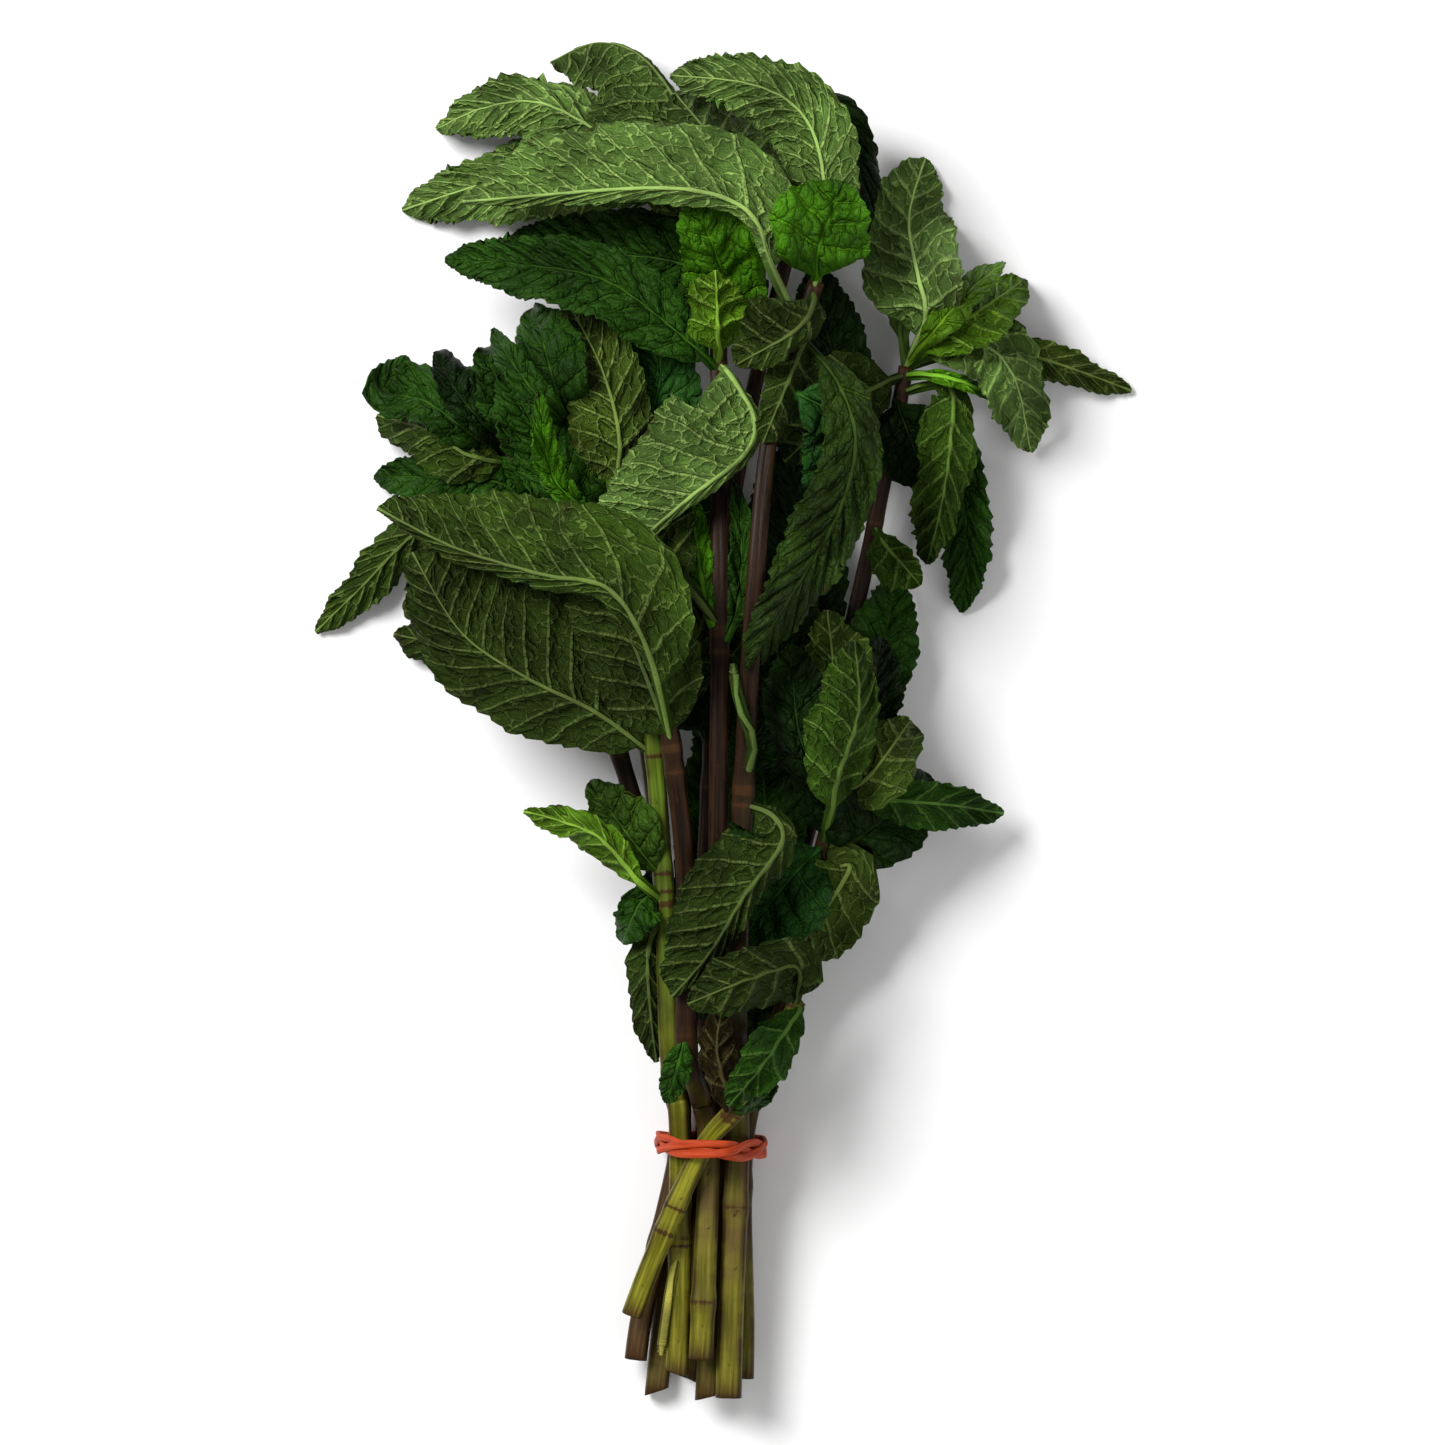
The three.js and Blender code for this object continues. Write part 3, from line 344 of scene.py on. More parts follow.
# Lifts a stem off the leaves and stems below it. Below the band the stems keep the heights of the table.
def layStem(stem, leafPile, laid):
    steps = drape["stemSteps"]
    path, _ = spline([plan(p) + [p[2]] for p in stem["points"]], steps + 1)
    x, y, z = path.T
    radius = stemWidth(stem, np.arange(steps + 1) / steps) / 2
    need = np.maximum(0, heightAt(leafPile, x, y) + drape["clearance"] - drape["stemSink"] + radius - z)
    for other in laid:
        reach = (radius[:, None] + other["radius"][None, :]) * drape["stemSpread"] + drape["stemGap"]
        apart = np.hypot(x[:, None] - other["path"][None, :, 0], y[:, None] - other["path"][None, :, 1])
        rest = other["path"][None, :, 2] + np.sqrt(np.maximum(reach ** 2 - apart ** 2, 0)) - z[:, None]
        need = np.maximum(need, np.where(apart < reach, rest, 0).max(1))
    need = np.where(y < drape["boundBelow"], 0, need)
    eased = softened(need[None, :], drape["ease"])[0]
    path[:, 2] += np.maximum(need, eased * smooth(drape["boundBelow"], drape["freeAbove"], y))
    stem["path"], stem["radius"] = path, radius


def stemAt(stem, drawnY):
    above = np.nonzero(stem["path"][1:, 1] >= plan([0, drawnY])[1])[0]
    return above[0] + 1 if len(above) else drape["stemSteps"]


laid, others, seed = [], emptyPile(), 1
for stem in stems:
    layStem(stem, softened(others, 1), laid)
    resting, own = softened(others, 2), emptyPile()
    stamp(own, stem["path"], stem["radius"])
    stem["grown"] = []
    for entry in stem["leaves"]:
        leaf = makeLeaf(stem["path"][stemAt(stem, entry[0])], entry, seed)
        seed += 1
        layLeaf(leaf, resting, softened(own, 1))
        stampLeaf(leaf, own)
        stem["grown"].append(leaf)
    for leaf in stem["grown"]:
        stampLeaf(leaf, others)
    stamp(others, stem["path"], stem["radius"])
    laid.append(stem)
print("laid", seed - 1, "leaves on", len(laid), "stems")

# The band hugs the stems at its middle. Its CAD ring tells how far the CAD group was moved to its origin.
band = {"middle": plan([0, 1149])[1], "reach": 4.5, "stemOut": 1.02, "clearance": 0.45, "strand": 0.85,
        "lean": 0.055, "leanFrom": 2.7, "ringSteps": 24, "ringDeep": 1.0, "ringWide": 2.1,
        "strands": 3, "twists": 2, "steps": 200, "sides": 12, "fineSteps": 720, "apart": 1.25,
        "start": 0.9, "swing": 0.35, "wide": 0.85, "thick": 0.5, "turn": 0.35, "wander": 0.12, "roundMm": 80,
        "acrossMm": 5, "stepMm": 9,
        "deep": (0.27, 0.026, 0.006, 1), "bright": (0.46, 0.06, 0.014, 1), "dust": (0.52, 0.15, 0.06, 1)}


def bandSupports(angles):
    corners = []
    for stem in laid:
        for k in np.nonzero(np.abs(stem["path"][:, 1] - band["middle"]) <= band["reach"])[0]:
            half = stem["radius"][k] * band["stemOut"]
            x, _, z = stem["path"][k]
            corners += [(x + p * half, z + q * half) for p, q in
                        ((1, .48), (.48, 1), (-.48, 1), (-1, .48), (-1, -.48), (-.48, -1), (.48, -1), (1, -.48))]
    corners = np.array(corners)
    normals = np.stack([np.cos(angles), np.sin(angles)], 1)
    return corners[np.argmax(normals @ corners.T, 1)], normals


def bandLean(x):
    return -band["lean"] * (x + band["leanFrom"])


supports, normals = bandSupports(np.arange(band["ringSteps"]) / band["ringSteps"] * 2 * math.pi)
outer = supports + normals * (band["clearance"] + band["strand"] + band["ringDeep"])
nearest = (bandLean(supports[:, 0]) + band["middle"]).min() - band["ringWide"]
low = np.array([outer[:, 0].min(), nearest, outer[:, 1].min()])
shift = np.array(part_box("rubber_band")[0]) * 1000 - low
print("shift", [round(float(s), 2) for s in shift])


def placed(points):
    return (points + shift) / 1000


# A grid of faces in the bmesh, with the place of each of its vertices along and across it.
def addGrid(bm, along, across):
    grid = bmesh.ops.create_grid(bm, x_segments=along, y_segments=across, size=1)["verts"]
    at = (np.array([v.co[:2] for v in grid]) + 1) / 2
    return grid, np.rint(at[:, 0] * along).astype(int), np.rint(at[:, 1] * across).astype(int)


# A tube through rings of points, with u of each ring and v round it in its UV map.
def addTube(bm, points, flat, u, v):
    grid, i, j = addGrid(bm, len(u) - 1, len(v) - 1)
    for vertex, point, a, b in zip(grid, placed(points)[i, j], i, j):
        vertex.co = point
        for loop in vertex.link_loops:
            loop[flat].uv = (u[a], v[b])
    for face in bm.faces:
        face.smooth = True
    return zip(grid, i, j)


def newObject(name, data):
    made = bpy.data.objects.new(name, data)
    bpy.context.scene.collection.objects.link(made)
    return made


def makePiece(bm, name, *materials):
    mesh = bpy.data.meshes.new(name)
    bm.to_mesh(mesh)
    bm.free()
    for material in materials:
        mesh.materials.append(material)
    return newObject(name, mesh)


def unit(vectors):
    return vectors / np.maximum(np.linalg.norm(vectors, axis=-1, keepdims=True), 1e-9)


# Leaf looks: colour of the face that is seen, of the other face (linear), and how far the veins stand out. The deep
# look is dark at about a third of its strength, and the sage look is light at half: painted shade for leaves that lie
# in shadow.
looks = {
    "deep": ((0.0045, 0.0155, 0.0014), (0.022, 0.036, 0.005), 0.25),
    "dark": ((0.0145, 0.05, 0.0034), (0.026, 0.046, 0.006), 0.4),
    "blue": ((0.0115, 0.048, 0.0062), (0.028, 0.05, 0.008), 0.45),
    "green": ((0.04, 0.135, 0.003), (0.038, 0.07, 0.005), 0.6),
    "fresh": ((0.052, 0.165, 0.0034), (0.045, 0.085, 0.008), 0.5),
    "bright": ((0.056, 0.13, 0.005), (0.062, 0.12, 0.01), 0.6),
    "spring": ((0.027, 0.064, 0.005), (0.016, 0.046, 0.004), 0.5),
    "moss": ((0.0165, 0.036, 0.0042), (0.022, 0.04, 0.006), 0.5),
    "pale": ((0.023, 0.048, 0.0044), (0.008, 0.03, 0.002), 0.75),
    "olive": ((0.0155, 0.03, 0.0036), (0.007, 0.026, 0.002), 0.5),
    "grey": ((0.033, 0.061, 0.0062), (0.008, 0.03, 0.003), 0.8),
    "light": ((0.068, 0.13, 0.024), (0.012, 0.046, 0.003), 1.0),
    "sage": ((0.034, 0.066, 0.011), (0.012, 0.046, 0.003), 0.9),
    "straw": ((0.115, 0.12, 0.018), (0.09, 0.095, 0.014), 0.2),
    "withered": ((0.023, 0.016, 0.0048), (0.018, 0.016, 0.006), 0.4),
}

leafForm = {"stationsPerVein": 8, "stalkStations": 6, "veinSpacing": 4.5, "cellWidth": 1.6, "edgeward": 1.3,
            "forward": 0.8, "toothDepth": 0.75, "toothLimit": 0.16, "quilt": 0.75, "midrib": 0.4, "ribWidth": 0.5,
            "topRib": 0.6, "sideVein": 0.4, "veinWidth": 0.11, "stalk": 0.7, "blade": 0.32, "ripple": 1.1,
            "fold": 0.6}


# The cells of a sheet. Their rows bend forward to the edge, as the side veins do.
def sheetCells(leaf):
    stalk, length = leaf["stalk"], leaf["length"]
    veins = int(np.clip(round(length * (1 - stalk) / leafForm["veinSpacing"]), 4, 12))
    across = int(np.clip(round(sum(leaf["half"]) / drawing["scale"] / leafForm["cellWidth"]), 5, 13)) * 2
    w = np.concatenate([np.linspace(0, stalk, leafForm["stalkStations"], endpoint=False),
                        np.linspace(stalk, 1, veins * leafForm["stationsPerVein"] + 1)])
    v = np.linspace(-1, 1, across + 1)
    v = np.sign(v) * np.abs(v) ** leafForm["edgeward"]
    w, v = np.meshgrid(w, v, indexing="ij")
    blade = np.clip((w - stalk) / (1 - stalk), 0, 1)
    u = w + leafForm["forward"] * np.abs(v) ** 0.85 * blade * (1 - blade) * (1 - stalk)
    half = np.where(v < 0, halfWidth(leaf, u, 0), halfWidth(leaf, u, 1))
    return {"w": w, "u": u, "v": v, "blade": blade, "half": half, "side": np.where(v < 0, 0, 1), "veins": veins,
            "along": len(w) - 1, "across": across, "phase": blade * veins, "distance": np.abs(v) * half}


# How far the toothed, uneven edge reaches out, as a share of the half width.
def edgeReach(leaf, cells):
    blade, edge, side, seed = cells["blade"], np.abs(cells["v"]), cells["side"], leaf["seed"]
    teeth = blade * cells["veins"] * 2 + 0.15 * np.sin(9 * blade + seed)
    saw = (teeth - np.floor(teeth)) ** 0.8 - 0.55
    onBlade = smooth(0.0, 0.04, blade) * smooth(1.0, 0.97, blade)
    depth = np.clip(leafForm["toothDepth"] / np.maximum(cells["half"], 0.5), 0, leafForm["toothLimit"])
    depth = depth * (0.8 + 0.35 * np.sin(np.floor(teeth) * 2.4 + seed))
    reach = 1 + depth * 1.4 * saw * onBlade * smooth(0.7, 1, edge)
    uneven = 0.05 * np.sin(6.5 * blade + 1.7 * seed + 2.1 * side) + 0.035 * np.sin(15 * blade + 2.9 * seed + side)
    return reach * (1 + uneven * smooth(0.05, 0.2, blade) * edge ** 2)


# Relief of the sheet in mm: veins, the quilted blade between them, a wavy margin and long soft folds.
def sheetRelief(leaf, cells):
    w, v, blade, half, side = (cells[key] for key in ("w", "v", "blade", "half", "side"))
    phase, distance, edge, seed = cells["phase"], cells["distance"], np.abs(v), leaf["seed"]
    toVein = np.abs(phase - np.round(phase))
    isBlade = smooth(0, 0.03, blade)
    vein = (np.exp(-(toVein / leafForm["veinWidth"]) ** 2) * smooth(1.0, 0.8, edge) * isBlade
            * smooth(0, 0.5, phase) * smooth(0.3, 0.9, distance))
    rib = np.exp(-(distance / leafForm["ribWidth"]) ** 2) * (1 - 0.7 * blade)
    puff = np.sin(math.pi * (phase - np.floor(phase))) ** 2 * smooth(0, 0.12, edge) * smooth(1, 0.8, edge)
    pockets = np.sin(phase * 6.3 + 1.7 * np.sin(distance * 0.9 + seed)) * np.sin(distance * 1.9 + phase)
    puff = puff * (1 + 0.35 * pockets) * isBlade * np.clip(half / 6, 0, 1)
    waves = np.sin(phase * 2.4 + 5 * leaf["wave"][3] + 2 * side)
    margin = leafForm["ripple"] * v ** 4 * isBlade * waves * np.clip(half / 5, 0, 1)
    folds = np.sin(distance * 0.7 + 1.6 * np.sin(2.6 * blade + 1.9 * seed) + 2.3 * side + seed)
    margin = margin + leafForm["fold"] * folds * isBlade * smooth(0, 0.35, edge) * np.clip(half / 8, 0, 1)
    if leaf["face"] == "under":
        relief = leafForm["midrib"] * rib + leafForm["sideVein"] * vein - leafForm["quilt"] * puff + margin
    else:
        relief = (-leafForm["topRib"] * leafForm["midrib"] * rib - leafForm["sideVein"] * vein
                  + leafForm["quilt"] * puff + margin)
    stalk = (1 - smooth(0, 0.1, blade)) * np.where(w < leaf["stalk"] + 0.1, 1, 0)
    return relief * (1 - stalk) + stalk * leafForm["stalk"] * (1 - v ** 2)


def leafSheet(leaf):
    cells = sheetCells(leaf)
    u, v, blade, half = (cells[key] for key in ("u", "v", "blade", "half"))
    points = liftedPoint(leaf, u, v, edgeReach(leaf, cells))
    normals = unit(np.cross(np.gradient(points, axis=1), np.gradient(points, axis=0)))
    normals *= np.where(normals[..., 2:] < 0, -1, 1)
    points = points + normals * sheetRelief(leaf, cells)[..., None]
    spacing = leaf["length"] * (1 - leaf["stalk"]) / cells["veins"]
    phase = np.where(blade > 0, cells["phase"], -0.5)
    shape = np.stack([phase, cells["distance"] * np.sign(v), np.full_like(u, spacing)], -1)
    more = np.stack([blade, np.abs(v), np.full_like(u, looks[leaf["look"]][2])], -1)
    flat = np.stack([u * leaf["length"], v * half], -1) + leaf["seed"] * 7.3
    return cells, {"points": points, "leafShape": shape, "leafMore": more, "flat": flat}


def growLeaves(stem):
    bm = bmesh.new()
    data = {key: [] for key in ("points", "leafShape", "leafMore", "flat", "topTint", "underTint")}
    for leaf in stem["grown"]:
        cells, sheet = leafSheet(leaf)
        grid, i, j = addGrid(bm, cells["along"], cells["across"])
        for key, values in sheet.items():
            data[key].append(values[i, cells["across"] - j])
        seen, other, _ = looks[leaf["look"]]
        under = leaf["face"] == "under"
        data["topTint"].append(np.tile(other if under else seen, (len(grid), 1)))
        data["underTint"].append(np.tile(seen if under else other, (len(grid), 1)))
        for face in {f for v in grid for f in v.link_faces}:
            face.material_index = 1 if under else 0
            face.smooth = True
    for edge in bm.edges:
        edge.smooth = not edge.is_boundary
    data = {key: np.concatenate(parts) for key, parts in data.items()}
    for vertex, point in zip(bm.verts, placed(data["points"])):
        vertex.co = point
    piece = makePiece(bm, stem["name"] + "_leaves", leafTop, leafUnder, leafTop)
    mesh = piece.data
    for name in ("leafShape", "leafMore", "topTint", "underTint"):
        layer = mesh.attributes.new(name, "FLOAT_VECTOR", "POINT")
        layer.data.foreach_set("vector", data[name].astype(np.float32).ravel())
    uv = mesh.uv_layers.new(name="leafMm")
    corner = np.empty(len(mesh.loops), int)
    mesh.loops.foreach_get("vertex_index", corner)
    uv.data.foreach_set("uv", data["flat"][corner].astype(np.float32).ravel())
    thick = piece.modifiers.new("blade", "SOLIDIFY")
    thick.thickness, thick.offset, thick.material_offset = leafForm["blade"] / 1000, 0, 1
    return piece


# The ridge shade colour is painted shade: it darkens the stems along their corners.
stemForm = {"rings": 180, "sides": 32, "square": 3.4, "groove": 0.075, "grooveWidth": 0.24, "ridgeWidth": 0.2,
            "joint": 0.12, "jointReach": 2.2, "inside": 0.97, "flatUntil": 8, "aroundMm": 16, "cutRim": 0.45,
            "cutInset": 0.15,
            "oliveLow": (0.086, 0.084, 0.003, 1), "oliveHigh": (0.28, 0.27, 0.021, 1),
            "freshLow": (0.052, 0.098, 0.0032, 1), "freshHigh": (0.15, 0.225, 0.02, 1),
            "purpleLow": (0.006, 0.0026, 0.0009, 1), "purpleHigh": (0.024, 0.0095, 0.0032, 1),
            "brownLow": (0.042, 0.022, 0.008, 1), "brownHigh": (0.11, 0.064, 0.026, 1),
            "freshFrom": (45, 90), "purpleFrom": (30, 75),
            "rust": (0.042, 0.018, 0.005, 1), "paintedRidgeShade": (0.35, 0.33, 0.3, 1), "scar": (0.03, 0.014, 0.006, 1)}


def growStem(stem):
    rings, sides, last = stemForm["rings"], stemForm["sides"], drape["stemSteps"]
    t = np.linspace(0, last, rings + 1)
    k = np.minimum(np.floor(t).astype(int), last - 1)
    centre = stem["path"][k] + (stem["path"][k + 1] - stem["path"][k]) * (t - k)[:, None]
    half = np.interp(t, np.arange(last + 1), stem["radius"])
    ahead = np.gradient(centre, axis=0)
    if stem["points"][0][2] == stem["points"][1][2]:
        ahead[t <= stemForm["flatUntil"], 2] = 0
    ahead = unit(ahead)
    acrossWay = unit(np.cross([0, 0, 1], ahead))
    up = np.cross(ahead, acrossWay)
    # Joints swell where leaves grow, and where the table names a bare one.
    joints = [centre[np.argmin(np.abs(t - stemAt(stem, entry[0])))][1] for entry in stem["leaves"]]
    joints += [plan([0, y])[1] for y in stem.get("joints", [])]
    away = np.min(np.abs(centre[:, 1][:, None] - np.array(joints)[None, :]), 1)
    swell = 1 + stemForm["joint"] * np.exp(-(away / stemForm["jointReach"]) ** 2)
    # A square section with rounded corners and a groove along each side.
    angle = np.linspace(0, 2 * math.pi, sides + 1)
    c, s = np.cos(angle), np.sin(angle)
    power = stemForm["square"]
    section = (np.abs(c) ** power + np.abs(s) ** power) ** (-1 / power)
    toGroove = np.mod(angle + math.pi / 4, math.pi / 2) - math.pi / 4
    section *= 1 - stemForm["groove"] * np.exp(-(toGroove / stemForm["grooveWidth"]) ** 2)
    out = (half * swell)[:, None] * section[None, :] * stemForm["inside"]
    points = (centre[:, None] + acrossWay[:, None] * (out * c)[..., None] + up[:, None] * (out * s)[..., None])
    points[0] += ahead[0] * (out[0] * c * stem.get("cut", 0))[:, None]

    bm = bmesh.new()
    tone = bm.verts.layers.float_vector.new("stemTone")
    flat = bm.loops.layers.uv.new("stemMm")
    ridge = np.exp(-((np.mod(angle, math.pi / 2) - math.pi / 4) / stemForm["ridgeWidth"]) ** 2)
    share = np.interp(t, [0, last * drape["stemMiddle"], last], stem["tones"])
    length = np.concatenate([[0], np.cumsum(np.linalg.norm(np.diff(centre, axis=0), axis=1))])
    around = np.arange(sides + 1) / sides * stemForm["aroundMm"]
    for vertex, a, b in addTube(bm, points, flat, length, around):
        vertex[tone] = (share[a], min(away[a], 9), ridge[b])
    bmesh.ops.remove_doubles(bm, verts=bm.verts, dist=1e-6)
    # The ends: a rim, and the cut set a little smaller in it.
    ends = bmesh.ops.holes_fill(bm, edges=[e for e in bm.edges if e.is_boundary], sides=0)["faces"]
    rims = bmesh.ops.inset_region(bm, faces=ends, thickness=stemForm["cutRim"] / 1000, depth=0,
                                  use_even_offset=True)["faces"]
    for face in list(ends) + list(rims):
        face.smooth = False
    for face in ends:
        face.material_index = 1
        middle = face.calc_center_median()
        for vertex in face.verts:
            vertex.co += (middle - vertex.co) * stemForm["cutInset"]
    bmesh.ops.recalc_face_normals(bm, faces=bm.faces)
    return makePiece(bm, stem["name"] + "_stalk", stemSkin, cutEnd)


def windBand():
    bm = bmesh.new()
    steps, sides = band["steps"], band["sides"]
    # The ring's line at even steps of its length, so that the strands twist evenly.
    fine = np.arange(band["fineSteps"] + 1) / band["fineSteps"] * 2 * math.pi
    ring, away = bandSupports(fine)
    ring = ring + away * (band["clearance"] + band["strand"])
    along = np.concatenate([[0], np.cumsum(np.hypot(*np.diff(ring, axis=0).T))])
    share = np.arange(steps + 1) / steps
    angles = np.interp(share * along[-1], along, fine)
    x, z = (np.interp(share * along[-1], along, ring[:, n]) for n in (0, 1))
    normal = np.stack([np.cos(angles), np.zeros(steps + 1), np.sin(angles)], 1)
    around = np.arange(sides + 1) / sides * 2 * math.pi
    wide, thick = band["wide"] * np.cos(around)[None, :], band["thick"] * np.sin(around)[None, :]
    flat = bm.loops.layers.uv.new("bandMm")
    for strand in range(band["strands"]):
        phase = 2 * math.pi * (band["twists"] * share + strand / band["strands"]) + band["start"]
        y = band["apart"] * np.cos(phase) + band["middle"] + bandLean(x)
        y += band["wander"] * np.sin(share * 2 * math.pi * 5 + 2 * strand)
        centre = np.stack([x, y, z], 1) + normal * (band["swing"] * np.sin(phase))[:, None]
        tilt = band["turn"] * np.cos(phase)[:, None]
        a, b = wide * np.cos(tilt) - thick * np.sin(tilt), wide * np.sin(tilt) + thick * np.cos(tilt)
        points = centre[:, None] + np.array([0, 1, 0]) * a[..., None] + normal[:, None] * b[..., None]
        points[-1] = points[0]
        acrossMm = np.arange(sides + 1) / sides * band["acrossMm"] + strand * band["stepMm"]
        addTube(bm, points, flat, share * band["roundMm"], acrossMm)
    bmesh.ops.remove_doubles(bm, verts=bm.verts, dist=1e-6)
    bmesh.ops.recalc_face_normals(bm, faces=bm.faces)
    return makePiece(bm, "rubber_band_strands", rubber)


# Most of these add nodes to a tree and give back an output.
def newMaterial(name):
    material = bpy.data.materials.new(name)
    material.use_nodes = True
    tree = material.node_tree
    return material, tree, tree.nodes["Principled BSDF"]


def setSocket(tree, socket, value):
    if isinstance(value, bpy.types.NodeSocket):
        tree.links.new(value, socket)
    else:
        socket.default_value = value


def add(tree, kind, inputs=(), **settings):
    node = tree.nodes.new("ShaderNode" + kind)
    for name, value in settings.items():
        setattr(node, name, value)
    for name, value in dict(inputs).items():
        setSocket(tree, node.inputs[name], value)
    return node


def maths(tree, operation, a, b=0.0, clamp=False):
    return add(tree, "Math", {0: a, 1: b}, operation=operation, use_clamp=clamp).outputs[0]


def plus(tree, a, b):
    return maths(tree, "ADD", a, b)


def times(tree, a, b):
    return maths(tree, "MULTIPLY", a, b)


# Noise and the like, turned into a value that swings amount / 2 each way.
def swing(tree, value, amount):
    return times(tree, maths(tree, "SUBTRACT", value, 0.5), amount)


def ramp(tree, value, low, high, start=0, stop=1):
    return add(tree, "MapRange", {"Value": value, "From Min": low, "From Max": high, "To Min": start,
                                  "To Max": stop}, interpolation_type="SMOOTHSTEP").outputs["Result"]


def noise(tree, place, scale, detail=2.0, roughness=0.5, output="Fac"):
    return add(tree, "TexNoise", {"Vector": place, "Scale": scale, "Detail": detail,
                                  "Roughness": roughness}).outputs[output]


def netEdges(tree, place, scale, randomness=1.0):
    return add(tree, "TexVoronoi", {"Vector": place, "Scale": scale, "Randomness": randomness},
               feature="DISTANCE_TO_EDGE", voronoi_dimensions="2D").outputs["Distance"]


# A vein is full up to the share core of its width from its middle.
def veinLine(tree, away, width, core):
    return maths(tree, "SUBTRACT", 1, ramp(tree, away, times(tree, width, core), width))


def attribute(tree, name):
    return add(tree, "Attribute", attribute_name=name).outputs["Vector"]


def separated(tree, vector):
    return add(tree, "SeparateXYZ", {0: vector}).outputs


def mix(tree, share, a, b, kind="MIX"):
    node = add(tree, "Mix", data_type="RGBA", blend_type=kind)
    for index, value in ((0, share), (6, a), (7, b)):
        setSocket(tree, node.inputs[index], value)
    return node.outputs[2]


def multiplied(tree, colour, factor):
    return mix(tree, 1, colour, factor, "MULTIPLY")


def finish(tree, shader, colour, height, strength, distance, roughness, specular=None):
    tree.links.new(colour, shader.inputs["Base Color"])
    bump = add(tree, "Bump", {"Height": height, "Strength": strength, "Distance": distance}).outputs["Normal"]
    tree.links.new(bump, shader.inputs["Normal"])
    shader.inputs["Roughness"].default_value = roughness
    if specular is not None:
        shader.inputs["Specular IOR Level"].default_value = specular


# The two faces of a leaf: what the veins do to its colour, how much of the net shows, and the skin.
leafFaces = {
    "top": {"name": "mint leaf top", "veinTimes": (2.0, 1.75, 1.6, 1), "veinPlus": (0.006, 0.012, 0.001, 1),
            "net": 0.3, "way": -1, "bump": 0.0011, "roughness": 0.5, "specular": 0.07},
    "under": {"name": "mint leaf underside", "veinTimes": (2.3, 2.0, 2.3, 1), "veinPlus": (0.075, 0.095, 0.034, 1),
              "net": 0.8, "way": 1, "bump": 0.0014, "roughness": 0.6, "specular": 0.04},
}
# The net shade colour is painted shade: it darkens the sunken net of the top faces.
leafSkin = {"patchLow": 0.56, "patchHigh": 1.42, "sideVein": 0.85, "topVeins": 0.6, "paintedNetShade": (0.62, 0.66, 0.62, 1),
            "brown": (0.03, 0.02, 0.008, 1), "brownShare": 0.7, "bump": 0.9}


